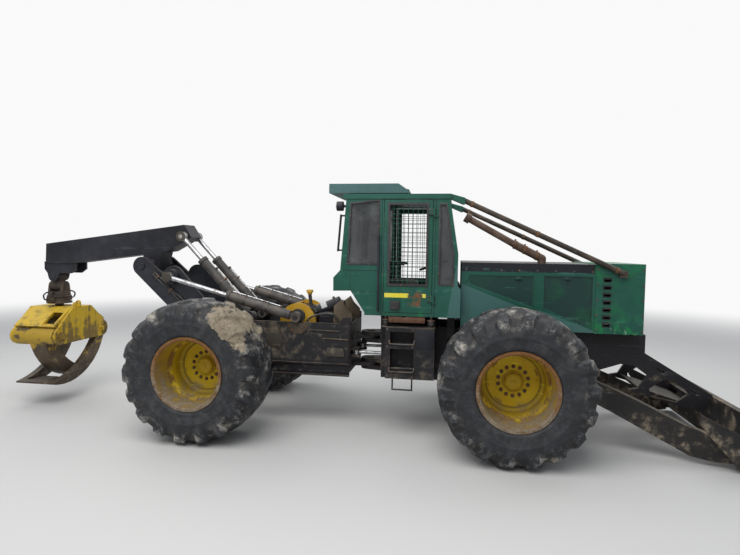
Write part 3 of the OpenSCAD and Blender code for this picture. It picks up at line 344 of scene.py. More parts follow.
def rimPaint(end, wheelX):
    # rusty flange, mud on the lower lip, and painted shade with grime on the deep dish's inner barrel and in its inner
    # corner
    def away(x, y, z):
        # radius from the wheel's axle, how far outward, and the height over the axle
        along, rise = x - (wheelX - axleX) * mm, z - axleZ * mm
        return (along * along + rise * rise).maths("SQRT"), y.maths("ABSOLUTE") - wheelY * mm, rise

    def zones(tree, x, y, z, broad, fine):
        radius, out, rise = away(x, y, z)
        # painted shade with grime: darker yellow on the inner barrel wall, and a dark ring in the dish's inner corner
        deep = (1 - out.step(-150, 60)) * radius.step(300, 345)
        grime = radius.step(286, 300) * (1 - radius.step(300, 330)) * (1 - out.step(-165, -120))
        return [((0.30, 0.20, 0.020), deep * 0.7), ((0.10, 0.065, 0.015), grime * 0.8),
                ((0.40, 0.25, 0.02), (1 - radius.step(118, 124)) * 0.6)]

    def rustAt(tree, x, y, z, broad, fine):
        radius, out, rise = away(x, y, z)
        flange = radius.step(380, 398) * (0.60 + fine * 0.9)
        step = out.step(10, 25) * (1 - out.step(70, 90)) * radius.step(345, 352) * fine.step(0.35, 0.55)
        weld = radius.step(255, 275) * (1 - radius.step(280, 300)) * fine.step(0.5, 0.62) * 0.8
        return flange.most(step * 0.85).most(weld).least(0.95)

    def mudAt(tree, x, y, z, broad, fine):
        radius, out, rise = away(x, y, z)
        lip = out.step(40, 110) * (1 - rise.step(-300, 240)) * (0.35 + fine.step(0.35, 0.6))
        floor = (1 - rise.step(-300, -120)) * (broad * 0.5 + fine * 0.5).step(0.44, 0.6) * 0.7
        return (lip.most(floor) * radius.step(120, 300)).least(0.9)

    paintedSteel("rim_paint_" + end, (0.64, 0.43, 0.010), (0.72, 0.52, 0.02), chips=0.5, rust=0.3, mud=0.1, dust=0.1,
                 patch=2.5, streak=0.4, zones=zones, rustAt=rustAt, mudAt=mudAt)


paintedSteel("green_paint", greens["panel"], greens["faded"], chips=0.25, rust=0.05, mud=0.05, mudTop=1500, dust=0.12,
             gloss=0.33, bumpiness=0.12, zones=cabZones, rustAt=doorRust)
paintedSteel("green_hood", greens["panel"], greens["faded"], chips=0.2, rust=0.05, mud=0.05, mudTop=1500, dust=0.15,
             gloss=0.33, bumpiness=0.12, zones=hoodZones)
paintedSteel("green_roof", greens["roof"], (0.085, 0.160, 0.160), chips=0.25, rust=0.08, dust=0.25, gloss=0.45,
             bumpiness=0.12, zones=roofZones)
paintedSteel("black_paint", (0.010, 0.011, 0.015), (0.026, 0.028, 0.036), chips=0.5, rust=0.3, mud=0.35, mudTop=1300,
             gloss=0.42)
paintedSteel("frame_black", (0.008, 0.008, 0.010), (0.022, 0.022, 0.027), rust=0.35, mud=0.6, mudTop=1500, dust=0.45)
paintedSteel("rear_frame_black", (0.016, 0.016, 0.018), (0.045, 0.042, 0.040), rust=0.45, mud=0.5, mudTop=900, dust=0.5,
             gloss=0.55, mudAt=frameMud)
paintedSteel("muddy_steel", (0.050, 0.042, 0.034), (0.105, 0.088, 0.068), mud=0.8, mudTop=1900, dust=0.5, gloss=0.6,
             patch=3.0)
paintedSteel("arm_black", (0.009, 0.010, 0.014), (0.030, 0.032, 0.040), chips=0.45, rust=0.3, mud=0.1, dust=0.35,
             gloss=0.38, patch=2.0)
paintedSteel("barrel_paint", (0.050, 0.047, 0.045), (0.125, 0.108, 0.095), chips=0.8, rust=0.7, mud=0.4, mudTop=2200,
             dust=0.35, gloss=0.45, patch=4.0)
paintedSteel("blade_black", (0.014, 0.013, 0.013), (0.045, 0.040, 0.036), chips=1.0, rust=0.9, mud=1.0, mudTop=1400,
             dust=0.5, patch=2.2)
paintedSteel("riser_paint", (0.030, 0.024, 0.020), (0.085, 0.062, 0.045), chips=0.8, rust=0.75, dust=0.35, patch=5.0)
paintedSteel("winch_yellow", (0.52, 0.28, 0.015), (0.56, 0.36, 0.05), rust=0.4, mud=0.35, mudTop=1700, gloss=0.45,
             patch=3.0)
paintedSteel("worn_yellow", (0.62, 0.40, 0.015), (0.58, 0.39, 0.035), chips=1.0, rust=0.6, mud=0.4, mudTop=1400,
             dust=0.15, patch=3.5, streak=0.5, zones=headZones)
paintedSteel("tong_steel", (0.085, 0.060, 0.038), (0.140, 0.105, 0.066), chips=0.5, rust=0.6, mud=0.5, mudTop=900,
             dust=0.25, patch=4.0, zones=tongZones)
paintedSteel("link_steel", (0.042, 0.032, 0.027), (0.090, 0.066, 0.048), rust=0.8, mud=0.4, mudTop=1600, dust=0.25,
             gloss=0.55, patch=6.0)
paintedSteel("exhaust_steel", (0.090, 0.052, 0.036), (0.185, 0.125, 0.095), chips=0.3, dust=0.2, patch=4.0)
paintedSteel("iron", (0.03, 0.03, 0.032), (0.06, 0.058, 0.055), chips=0.1, rust=0.4, mud=0.1, gloss=0.42)
paintedSteel("tan_plate", (0.125, 0.095, 0.062), (0.200, 0.155, 0.105), chips=0.6, mud=0.5, mudTop=1800, gloss=0.6,
             patch=4.0)
paintedSteel("rust_plate", (0.085, 0.038, 0.024), (0.150, 0.075, 0.045), chips=0.4, rust=0.7, mud=0.2, mudTop=1500,
             gloss=0.6, patch=5.0)
paintedSteel("strip_yellow", (0.80, 0.66, 0.03), (0.82, 0.70, 0.12), chips=0.2, rust=0.0, dust=0.0, gloss=0.3,
             patch=3.0, streak=0.1, bumpiness=0.05)
paintedSteel("white_label", (0.60, 0.60, 0.58), (0.72, 0.72, 0.70), chips=0.2, rust=0.0, mud=0.3, mudTop=2500,
             gloss=0.45, patch=5.0)
rimPaint("front", axleX)
rimPaint("rear", rearAxleX)
bareMetal("rod_steel", (0.46, 0.47, 0.49), (0.25, 0.24, 0.23), 0.22, 0.2)
bareMetal("bare_steel", (0.30, 0.28, 0.26), (0.13, 0.11, 0.095), 0.4, 0.7)
bareMetal("dark_steel", (0.10, 0.095, 0.09), (0.05, 0.045, 0.04), 0.4, 0.5, 0.7)
bareMetal("rusty_steel", (0.16, 0.10, 0.05), (0.10, 0.06, 0.03), 0.5, 0.9, 0.4)


def blackPlastic():
    tree = newMaterial("black_plastic")
    grain = cloud(tree, 240.0, 3, 0.5)
    fade = cloud(tree, 4.0, 5, 0.6)
    colour = fade.step(0.4, 0.7).blend((0.016, 0.016, 0.017), (0.045, 0.043, 0.04))
    finishMaterial(tree, colour, fade * 0.2 + 0.5, 0.0, relief(tree, 0.25, 0.001, grain))


def hoseRubber():
    tree = newMaterial("hose_rubber")
    fine = cloud(tree, 30.0, 6, 0.6)
    colour = fine.step(0.4, 0.7).blend((0.012, 0.012, 0.013), (0.050, 0.045, 0.038))
    dusty = upward(tree).step(0.2, 0.9) * fine.step(0.4, 0.65) * 0.5
    finishMaterial(tree, dusty.blend(colour, dirtColour["dust"]), fine * 0.2 + 0.45, 0.0,
                   relief(tree, 0.3, 0.001, fine))


def tintedGlass():
    # old polycarbonate under a dusty film
    tree = newMaterial("tinted_glass")
    film = cloud(tree, 3.0, 6, 0.6).step(0.35, 0.75)
    clear = tree.node("ShaderNodeBsdfPrincipled", {}, {
        "Base Color": film.blend((0.045, 0.050, 0.054), (0.115, 0.120, 0.118)), "Roughness": film * 0.25 + 0.04,
        "IOR": 1.45, "Alpha": film * 0.25 + 0.62})
    tree.node("ShaderNodeOutputMaterial", {}, {"Surface": clear})


def rubberTyre():
    tree = newMaterial("tyre_rubber")
    broad = cloud(tree, 2.2, 5, 0.6)
    fine = cloud(tree, 13.0, 8, 0.68)
    grit = cloud(tree, 90.0, 5, 0.65)
    crown, gap, patch = (tree.node("ShaderNodeAttribute", {"attribute_name": label}, out=2)
                         for label in ("crown", "gap", "patch"))
    colour = fine.step(0.38, 0.68).blend((0.006, 0.007, 0.009), (0.020, 0.022, 0.027))
    # Grey bloom and scuffs on the lugs, and painted shade in the gaps between them
    scuff = (fine * 0.55 + grit * 0.45).step(0.51, 0.61) * (0.16 + crown * (1 - gap) * 0.75)
    colour = scuff.blend(colour, (0.098, 0.101, 0.112))
    colour = (gap * (0.35 + fine * 0.6)).least(0.85).blend(colour, (0.005, 0.005, 0.006))
    blotch = cloud(tree, 5.0, 7, 0.66)
    pale = blotch.step(0.50, 0.60) * (crown * (1 - gap) * 0.85 + 0.10) * grit.step(0.36, 0.54)
    colour = pale.blend(colour, (0.25, 0.235, 0.215))
    bright = blotch.step(0.58, 0.65) * crown * (1 - gap * 0.6) * fine.step(0.42, 0.55)
    colour = bright.blend(colour, (0.46, 0.42, 0.35))
    # Dried mud in the marked patch and beside the lugs
    blot = (patch - 0.52 + (broad - 0.5) * 2.4 + (fine - 0.5) * 1.5).step(0.0, 0.16)
    dried = (broad * 0.6 + fine * 0.4).step(0.60, 0.68) * (0.08 + crown * 0.3) + blot * patch.step(0.0, 0.12) * 0.95
    mudMask = (dried + gap * fine.step(0.54, 0.64) * 0.22).least(0.93)
    mudTone = (grit * 0.6 + fine * 0.4).step(0.38, 0.62).blend((0.15, 0.115, 0.075), (0.40, 0.335, 0.24))
    finishMaterial(tree, mudMask.blend(colour, mudTone), (0.55 + fine * 0.2 + mudMask * 0.25).least(0.95), 0.0,
                   relief(tree, 0.45, 0.006, fine * 0.6 + grit * 0.5 + mudMask * 1.2))


def seatCloth():
    tree = newMaterial("seat_cloth")
    weave = bands(tree, "DIAGONAL", 260.0, Distortion=2.0, Detail=2.0)
    worn = cloud(tree, 7.0, 6, 0.6)
    colour = worn.step(0.4, 0.7).blend((0.030, 0.030, 0.032), (0.085, 0.080, 0.072))
    finishMaterial(tree, colour, worn * 0.1 + 0.8, 0.0, relief(tree, 0.35, 0.001, weave), **{"Sheen Weight": 0.3})


def lampGlass():
    tree = newMaterial("lamp_glass")
    ribs = bands(tree, "Y", 60.0, Distortion=0.0)
    dusty = cloud(tree, 20.0, 5, 0.6)
    colour = dusty.step(0.4, 0.7).blend((0.55, 0.56, 0.55), (0.24, 0.22, 0.18))
    finishMaterial(tree, colour, dusty * 0.3 + 0.05, 0.2, relief(tree, 0.4, 0.002, ribs), **{"Coat Weight": 0.6})


for makeFinish in (blackPlastic, hoseRubber, tintedGlass, rubberTyre, seatCloth, lampGlass):
    makeFinish()
print("stage: materials made")

nodeFinish = dict(
    green_paint="cab_shell door_right door_left", green_hood="hood", green_roof="roof_box",
    frame_black="front_frame front_axle rear_axle step_box_right step_box_left",
    rear_frame_black="rear_frame", blade_black="blade", arm_black="arch boom",
    black_paint="handrails oil_filters work_lights",
    barrel_paint="blade_barrels steer_barrel_right steer_barrel_left arch_barrels boom_barrels tong_barrel",
    riser_paint="limb_risers", iron="engine", exhaust_steel="exhaust", tinted_glass="cab_glass",
    black_plastic="seat console", hose_rubber="arch_hoses",
    tyre_rubber="tyre_front_right tyre_front_left tyre_rear_right tyre_rear_left",
    rim_paint_front="rim_front_right rim_front_left", rim_paint_rear="rim_rear_right rim_rear_left",
    winch_yellow="winch_housing", worn_yellow="grapple_head", tong_steel="tong_right tong_left",
    link_steel="swing_link rotator", bare_steel="winch_drum",
    rod_steel="blade_rods steer_rod_right steer_rod_left arch_rods boom_rods tong_rod")
for look, names in nodeFinish.items():
    for name in names.split():
        mesh = nodes[name].data
        mesh.materials.clear()
        mesh.materials.append(finish[look])


def at(x, y, z):
    # millimetres from the front axle, the middle plane and the ground
    return Vector((axleX + x / mm, y / mm, z / mm))


class Shape:
    # gathers simple solids into one mesh; y counts outward on the side it is made for, -1 for the right
    def __init__(self, side=1):
        self.mesh, self.side = bmesh.new(), side

    def at(self, x, y, z):
        return at(x, self.side * y, z)

    def skin(self, rings, caps=True):
        # faces between rings of points with equal counts
        rows = [[self.mesh.verts.new(p) for p in ring] for ring in rings]
        count = len(rows[0])
        for low, high in zip(rows, rows[1:]):
            for i in range(count):
                j = (i + 1) % count
                self.mesh.faces.new((low[i], low[j], high[j], high[i]))
        if caps:
            self.mesh.faces.new(rows[0][::-1])
            self.mesh.faces.new(rows[-1])
        return self

    def hoop(self, rings):
        # rings whose last one meets the first
        self.skin(rings, caps=False)
        bmesh.ops.remove_doubles(self.mesh, verts=self.mesh.verts, dist=0.00001)
        return self

    def box(self, low, high):
        low, high = self.at(*low), self.at(*high)
        near, far = sorted((low.y, high.y))
        ring = rect(low.x, near, high.x, far)
        return self.skin([[Vector((x, y, z)) for x, y in ring] for z in (low.z, high.z)])

    def plate(self, outline, low, high):
        # outline in X and Z, between two sideways places
        return self.skin([[self.at(x, y, z) for x, z in outline] for y in (low, high)])

    def loop(self, outer, inner, low, high):
        # flat ring between two outlines, from one sideways place to another
        rows = [(outer, low), (outer, high), (inner, high), (inner, low), (outer, low)]
        return self.hoop([[self.at(x, y, z) for x, z in outline] for outline, y in rows])

    def round(self, profile, start, sides, direction):
        # rings of (distance, radius) in millimetres round a line
        start = start if isinstance(start, Vector) else self.at(*start)
        along = Vector(direction or (0, self.side, 0)).normalized()
        side = along.orthogonal().normalized()
        other = along.cross(side)
        return [[start + (along * d + (side * math.cos(a) + other * math.sin(a)) * r) / mm for a in angles(sides)]
                for d, r in profile]

    def turned(self, profile, start, sides=24, direction=None):
        return self.skin(self.round(profile, start, sides, direction))

    def band(self, low, high, inner, outer, start, direction):
        # open ring round a line, with softened outer edges
        soft = (outer - inner) * 0.3
        profile = [(low, inner), (low, outer - soft), (low + soft, outer), (high - soft, outer),
                   (high, outer - soft), (high, inner), (low, inner)]
        return self.hoop(self.round(profile, start, 32, direction))

    def tube(self, places, radius, sides=10, steps=0):
        points = [p if isinstance(p, Vector) else self.at(*p) for p in places]
        points = curve(points, steps) if steps else points
        rings, side = [], None
        for i, point in enumerate(points):
            along = (points[min(i + 1, len(points) - 1)] - points[max(i - 1, 0)]).normalized()
            side = (along.orthogonal() if side is None else side - along * side.dot(along)).normalized()
            other = along.cross(side)
            rings.append([point + (side * math.cos(a) + other * math.sin(a)) * radius / mm for a in angles(sides)])
        return self.skin(rings)

    def make(self, name, body, look, slot, stands=(), bevel=0.0, smooth=True):
        piece = turnedOut(self.mesh, name)
        piece.data.materials.append(finish[look])
        if bevel:
            edge = piece.modifiers.new("edge", "BEVEL")
            edge.width, edge.segments, edge.limit_method, edge.angle_limit = bevel, 2, "ANGLE", math.radians(40)
            settle(piece)
        if smooth:
            piece.data.shade_smooth()
            piece.data.set_sharp_from_angle(angle=math.radians(35))
        placed(piece, body, stands)


def turnedOut(mesh, name):
    # a piece from a bmesh, with its faces turned outward
    bmesh.ops.recalc_face_normals(mesh, faces=mesh.faces)
    data = bpy.data.meshes.new(name)
    mesh.to_mesh(data)
    mesh.free()
    return linked(name, data)


def settle(piece):
    # turns a piece's modifiers into plain mesh
    shown = piece.evaluated_get(bpy.context.evaluated_depsgraph_get())
    data = bpy.data.meshes.new_from_object(shown)
    piece.modifiers.clear()
    piece.data = data


def placed(piece, body, stands=()):
    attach(piece, body)
    if stands:
        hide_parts(*stands)


def curve(points, steps):
    # smooth path through points
    ends = [points[0] * 2 - points[1], *points, points[-1] * 2 - points[-2]]
    path = []
    for a, b, c, d in zip(ends, ends[1:], ends[2:], ends[3:]):
        for i in range(steps):
            t = i / steps
            path.append(0.5 * ((2 * b) + (c - a) * t + (2 * a - 5 * b + 4 * c - d) * t * t
                               + (3 * b - a - 3 * c + d) * t ** 3))
    return path + [points[-1]]


def boltTree(look):
    # puts a hexagon head with its washer on every point, standing along the point's "facing"
    tree = bpy.data.node_groups.new("bolts", "GeometryNodeTree")
    tree.interface.new_socket("Geometry", in_out="INPUT", socket_type="NodeSocketGeometry")
    for label, value in (("Head radius", 0.012), ("Head height", 0.009), ("Washer radius", 0.016)):
        tree.interface.new_socket(label, in_out="INPUT", socket_type="NodeSocketFloat").default_value = value
    tree.interface.new_socket("Geometry", in_out="OUTPUT", socket_type="NodeSocketGeometry")
    wire = Wire(tree)
    given = tree.nodes.new("NodeGroupInput")
    points, radius, tall, wide = (Wire(tree, given.outputs[i]) for i in range(4))
    head = wire.node("GeometryNodeMeshCylinder", {}, {"Vertices": 6, "Radius": radius, "Depth": tall})
    washer = wire.node("GeometryNodeMeshCylinder", {}, {"Vertices": 16, "Radius": wide, "Depth": tall * 0.35})
    lifted = wire.node("GeometryNodeTransform", {}, {
        "Geometry": head, "Translation": wire.node("ShaderNodeCombineXYZ", {}, {"Z": tall * 0.5})})
    join = tree.nodes.new("GeometryNodeJoinGeometry")
    for part in (lifted, washer):
        tree.links.new(part.socket, join.inputs[0])
    facing = wire.node("GeometryNodeInputNamedAttribute", {"data_type": "FLOAT_VECTOR"}, {"Name": "facing"})
    turned = wire.node("FunctionNodeAlignRotationToVector", {"axis": "Z"}, {"Vector": facing})
    heads = wire.node("GeometryNodeInstanceOnPoints", {}, {
        "Points": points, "Instance": Wire(tree, join.outputs[0]), "Rotation": turned})
    real = wire.node("GeometryNodeRealizeInstances", {}, {"Geometry": heads})
    shown = wire.node("GeometryNodeSetMaterial", {}, {"Geometry": real, "Material": finish[look]})
    tree.links.new(shown.socket, tree.nodes.new("NodeGroupOutput").inputs[0])
    return tree


def makeBolts(name, body, places, look, radius, tall, washer):
    data = bpy.data.meshes.new(name)
    data.from_pydata([p for p, d in places], [], [])
    data.attributes.new("facing", "FLOAT_VECTOR", "POINT").data.foreach_set("vector", [c for p, d in places for c in d])
    piece = linked(name, data)
    maker = piece.modifiers.new("bolts", "NODES")
    maker.node_group = boltTree(look)
    sizes = {"Head radius": radius, "Head height": tall, "Washer radius": washer}
    for socket in maker.node_group.interface.items_tree:
        if socket.in_out == "INPUT" and socket.name in sizes:
            maker[socket.identifier] = sizes[socket.name] / mm
    settle(piece)
    placed(piece, body)


def outward(side, y, places):
    # bolts' places on a plane at y, in X and Z, facing out to a side
    return [(at(x, side * y, z), (0, side, 0)) for x, z in places]


tyreLook = dict(halfWidth=387.5, lugs=18, columns=540,
                # the tread's inner radius and fade, the lugs' lean and share of the pitch, how deep scrapes go,
                # and the mud patch's spread in degrees and its inner radius
                treadFrom=655, treadFade=60, lean=0.62, lugShare=0.25, scrape=9, mudSpread=38, mudFrom=600,
                # rings from the bead to the middle: radius and height of the lugs' tops, and of the gaps between them
                rings=[(412, 318, 412, 318), (422, 322, 422, 322), (438, 335, 438, 335), (452, 352, 452, 352),
                       (475, 362, 475, 362), (482, 361, 482, 361), (530, 374, 530, 374), (580, 383, 580, 383),
                       (586, 386, 586, 386), (592, 384, 592, 384), (640, 387, 640, 386), (668, 386.5, 664, 383),
                       (690, 385, 684, 374), (715, 382, 704, 366), (742, 377, 725, 357), (766, 370, 744, 347),
                       (788, 360, 760, 336), (806, 346, 774, 322), (820, 326, 786, 304), (830, 302, 795, 284),
                       (836, 276, 801, 262), (840, 248, 805, 236), (843, 218, 808, 208), (845, 186, 811, 178),
                       (847, 152, 813, 146), (848, 118, 815, 114), (849, 84, 816, 82), (849.5, 50, 817, 49),
                       (850, 16, 818, 16)])


def makeTyre(name, body, wear, mudAngle, seed):
    lugs, count, halfWidth = (tyreLook[k] for k in ("lugs", "columns", "halfWidth"))
    rng = random.Random(seed)
    centre = mid(name)
    centre.y = math.copysign(wheelY, centre.y)
    outer = 1 if centre.y > 0 else -1
    half = tyreLook["rings"]
    rings = [(*ring, side) for side, part in ((-1, half), (1, half[::-1])) for ring in part]
    pitch = 2 * math.pi / lugs
    cut = {(side, k): (rng.uniform(0.75, 1.15), rng.uniform(-0.05, 0.05)) for side in (-1, 1) for k in range(lugs)}

    def share(value):
        return min(1, max(0, value))

    points, crown, gap, patch = [], [], [], []
    for topR, topY, lowR, lowY, side in rings:
        tread = share((topR - tyreLook["treadFrom"]) / tyreLook["treadFade"])
        inward = 1 - topY / halfWidth
        for angle in angles(count):
            turn = angle / pitch + inward * tyreLook["lean"] - (0.5 if side > 0 else 0)
            deep, shift = cut[side, math.floor(turn) % lugs]
            across = turn - math.floor(turn) - 0.23 - shift
            width = tyreLook["lugShare"] + 0.03 * inward
            raised = share((width + 0.07 - abs(across if across < 0.5 else across - 1)) / 0.12)
            raised = raised * raised * (3 - 2 * raised)
            raised = max(raised, share((0.13 - topY / halfWidth) / 0.08) * 0.5)
            spot = Vector((math.cos(angle) * topR, topY * side, math.sin(angle) * topR)) / mm
            worn = noise.noise(spot * 7 + Vector((seed, 0, 0))) * 0.5 + noise.noise(spot * 19) * 0.3
            # Wear rounds the lugs off and fills the gaps on the crown
            level = raised * (1 - 0.14 * deep * abs(worn) * 2)
            level = 1 - (1 - level) * min(1, (wear + (1 - wear) * (1 - inward) ** 0.5) * (0.85 + 0.15 * deep))
            radius = lowR + (topR - lowR) * level
            out = lowY + (topY - lowY) * level
            radius -= max(0, worn) * tyreLook["scrape"] * tread * raised
            points.append(centre + Vector((math.cos(angle) * radius, out * side, math.sin(angle) * radius)) / mm)
            crown.append(tread)
            gap.append((1 - level) * tread)
            away = abs((math.degrees(angle) - mudAngle + 180) % 360 - 180) if mudAngle is not None else 180
            muddy = max(0, 1 - away / tyreLook["mudSpread"]) * share((topR - tyreLook["mudFrom"]) / 90)
            patch.append(muddy if side == outer or topY < 250 else 0)
    rows = len(rings)
    faces = []
    for row in range(rows):
        here, below = row * count, (row + 1) % rows * count
        for column in range(count):
            beside = (column + 1) % count
            faces.append((here + column, here + beside, below + beside, below + column))
    data = bpy.data.meshes.new(name + "_tread")
    data.from_pydata(points, [], faces)
    for label, values in (("crown", crown), ("gap", gap), ("patch", patch)):
        data.attributes.new(label, "FLOAT", "POINT").data.foreach_set("value", values)
    data.shade_smooth()
    mesh = bmesh.new()
    mesh.from_mesh(data)
    bpy.data.meshes.remove(data)
    piece = turnedOut(mesh, name + "_tread")
    piece.data.materials.append(finish["tyre_rubber"])
    placed(piece, body, (name,))


# How worn each tyre is, the angle of its patch of mud, and its seed
tyreWear = dict(front_right=(1.0, None, 3), front_left=(0.9, 200, 5), rear_right=(0.45, 48, 8),
                rear_left=(0.6, 120, 11))
for corner, (wear, mudAngle, seed) in tyreWear.items():
    makeTyre("tyre_" + corner, "wheel_" + corner, wear, mudAngle, seed)
print("stage: tyres made")

rimLook = dict(nuts=14, nutRing=167.5, disc=-172, cap=-150,
               valve=(0.262, 0, 0.02))  # from the disc's middle, in metres


def makeRimFittings(corner):
    body = "wheel_" + corner
    centre = mid("rim_" + corner)
    out = 1 if centre.y > 0 else -1
    disc, cap = (Vector((centre.x, out * (wheelY + rimLook[k] / mm), axleZ)) for k in ("disc", "cap"))
    ring = [(disc + Vector((math.cos(a), 0, math.sin(a))) * rimLook["nutRing"] / mm, (0, out, 0))
            for a in angles(rimLook["nuts"], 0.5)]
    makeBolts("wheel_nuts_" + corner, body, ring, "rusty_steel", 17, 24, 23)
    # Rounded hub cover with its plug, and the valve stem
    shape = Shape(out).turned([(0, 104), (8, 106), (22, 102), (34, 90), (42, 66), (44, 26), (52, 24), (52, 1)], cap, 40)
    shape.turned([(-4, 9), (18, 9), (20, 6), (48, 6), (50, 8), (60, 8), (61, 1)], disc + Vector(rimLook["valve"]), 10)
    shape.make("hub_cover_" + corner, body, "rim_paint_" + corner.split("_")[0], "yellow_paint")


for corner in tyreWear:
    makeRimFittings(corner)
print("stage: wheels made")


def grown(outline, by):
    # moves the edges of a convex outline, anticlockwise in X and Z, outward
    moved = []
    count = len(outline)
    for i in range(count):
        (ax, az), (bx, bz), (cx, cz) = outline[i - 1], outline[i], outline[(i + 1) % count]
        first, second = Vector((bz - az, ax - bx)).normalized(), Vector((cz - bz, bx - cx)).normalized()
        corner = (first + second) * (by / (1 + first.dot(second)))
        moved.append((bx + corner.x, bz + corner.y))
    return moved


def spaced(first, last, count):
    return [tuple(a + (b - a) * i / (count - 1) for a, b in zip(first, last)) for i in range(count)]


sides = (("right", -1), ("left", 1))
doorLook = dict(face=734.3, leafFace=758.3, window=rect(-1490, 1881, -1005, 2883), frameWidth=22,
                strip=[(-1528, 1734), (-1246, 1733), (-1232, 1748), (-1250, 1757), (-1226, 1771), (-1238, 1788),
                       (-1528, 1788)],
                stripEnd=[(-1062, 1740), (-1020, 1736), (-1018, 1786), (-1074, 1787), (-1058, 1766)],
                latch=rect(-1452, 1584, -1336, 1696))
cabLook = dict(face=730.3, rear_window=[(-1990, 2140), (-1608, 2140), (-1608, 2915), (-1955, 2880)],
               front_window=[(-865, 1905), (-700, 1905), (-700, 2285), (-795, 2873), (-865, 2873)])


def makeDoorFittings(label, side):
    body, face, window, latch = "door_" + label, *(doorLook[k] for k in ("face", "window", "latch"))
    Shape(side).loop(grown(window, 8), grown(window, -doorLook["frameWidth"]), face, face + 9).make(
        "door_window_frame_" + label, body, "black_plastic", "plastic", bevel=0.002)
    strip = Shape(side).plate(doorLook["strip"], face, face + 1.2).plate(doorLook["stripEnd"], face, face + 1.2)
    strip.make("door_strip_" + label, body, "strip_yellow", "yellow_paint", smooth=False)
    Shape(side).plate(latch, face, face + 29).make("latch_box_" + label, body, "black_plastic", "plastic", bevel=0.006)
    handle = Shape(side).loop(grown(latch, -16), grown(latch, -24), face + 29.3, face + 32)
    handle.turned([(0, 13), (3, 13), (4, 11), (4.2, 5), (3, 4.5), (3, 1)], (-1394, face + 29.3, 1652), 20)
    handle.plate(rect(-1424, 1604, -1366, 1618), face + 29.3, face + 33)
    handle.make("latch_handle_" + label, body, "iron", "iron", bevel=0.001)
    a, b, c, d = grown(window, -7)
    rows = spaced(a, b, 4) + spaced(d, c, 4) + spaced(a, d, 6)[1:-1] + spaced(b, c, 6)[1:-1]
    makeBolts("door_screws_" + label, body, outward(side, face + 9, rows), "dark_steel", 6, 4, 9)
    leaf = [(x, z) for low in (1690, 2740) for x in (-990, -962) for z in (low + 18, low + 62)]
    makeBolts("hinge_bolts_" + label, body, outward(side, doorLook["leafFace"], leaf), "dark_steel", 8, 6, 11)


def makeCabFittings(label, side):
    body, face = "front_frame", cabLook["face"]
    for title in ("rear_window", "front_window"):
        outline = cabLook[title]
        Shape(side).loop(grown(outline, 14), grown(outline, -6), face, face + 5).make(
            f"{title}_gasket_{label}", body, "black_plastic", "plastic", bevel=0.0015)
        ring, bolts = grown(outline, 4), []
        for a, b in zip(ring, ring[1:] + ring[:1]):
            bolts += spaced(a, b, max(2, round(math.dist(a, b) / 150)) + 1)[:-1]
        makeBolts(f"{title}_bolts_{label}", body, outward(side, face + 5, bolts), "dark_steel", 7, 5, 11)
    # Rust-brown plate between the cab's two rubber mounts
    plate = Shape(side).plate([(-1474, 1424), (-1025, 1424), (-1025, 1500), (-1262, 1500), (-1272, 1488), (-1300, 1488),
                               (-1310, 1500), (-1474, 1500)], 702, 722)
    plate.box((-1470, 560, 1424), (-1030, 702, 1434))
    plate.make("sill_plate_" + label, body, "rust_plate", "rust", bevel=0.003)
    mounts, caps, up = Shape(side), Shape(side), (0, 0, 1)
    for x, wide in ((-1514, 36), (-952, 44)):
        foot = (x, 668, 1372)
        mounts.turned([(0, wide * 0.7), (6, wide * 0.8), (22, wide), (44, wide * 1.02), (66, wide * 0.92),
                       (78, wide * 0.7)], foot, 28, up)
        caps.turned([(78.3, wide + 8), (84, wide + 9), (90, wide + 4), (90, 15), (132, 15)], foot, 28, up)
        caps.turned([(-8, wide + 12), (-1, wide + 12), (-0.3, wide + 8)], foot, 28, up)
    mounts.make("mount_rubber_" + label, body, "hose_rubber", "hose", bevel=0.003)
    caps.make("mount_caps_" + label, body, "bare_steel", "steel")
    makeBolts("sill_bolts_" + label, body, outward(side, 722, [(x, 1462) for x in (-1440, -1356, -1150, -1060)]),
              "rusty_steel", 11, 9, 17)
    # Dark panel beside the steps, and the steps' worn edges
    Shape(side).plate(rect(-1142, 1128, -904, 1362), 790.3, 797).make(
        "tank_panel_" + label, body, "black_paint", "black_paint", bevel=0.005)
    treads = Shape(side)
    for z, deep in ((1172, 24), (836, 40)):
        treads.tube([(-1452, 786, z + 44), (-1444, 792 + deep * 0.6, z + 10), (-1420, 790 + deep, z),
                     (-1176, 790 + deep, z), (-1150, 792 + deep * 0.6, z + 10), (-1142, 786, z + 44)], 10, steps=6)
        for x in range(-1404, -1180, 28):
            treads.box((x, 700, z - 6), (x + 10, 786 + deep, z + 6))
    treads.make("step_treads_" + label, body, "dark_steel", "steel", bevel=0.001)
    stepBolts = [(x, z) for x in (-1476, -1165) for z in (770, 1140, 1345)]
    makeBolts("step_bolts_" + label, body, outward(side, 790, stepBolts), "dark_steel", 10, 8, 15)
    lens = Shape(side).turned([(0, 58), (5, 58), (7, 54), (12, 44), (15, 26), (16, 1)], (-2150.3, 640, 2855), 32,
                              (-1, 0, 0))
    lens.make("lamp_lens_" + label, body, "lamp_glass", "lamp")


for label, side in sides:
    makeDoorFittings(label, side)
    makeCabFittings(label, side)
print("stage: cab fittings made")

hoodLook = dict(panel=590.3, face=602, boxFace=612.3, latches=[(86, 1990), (650, 2000)], louvres=7, louvreLow=1470,
                louvrePitch=88)


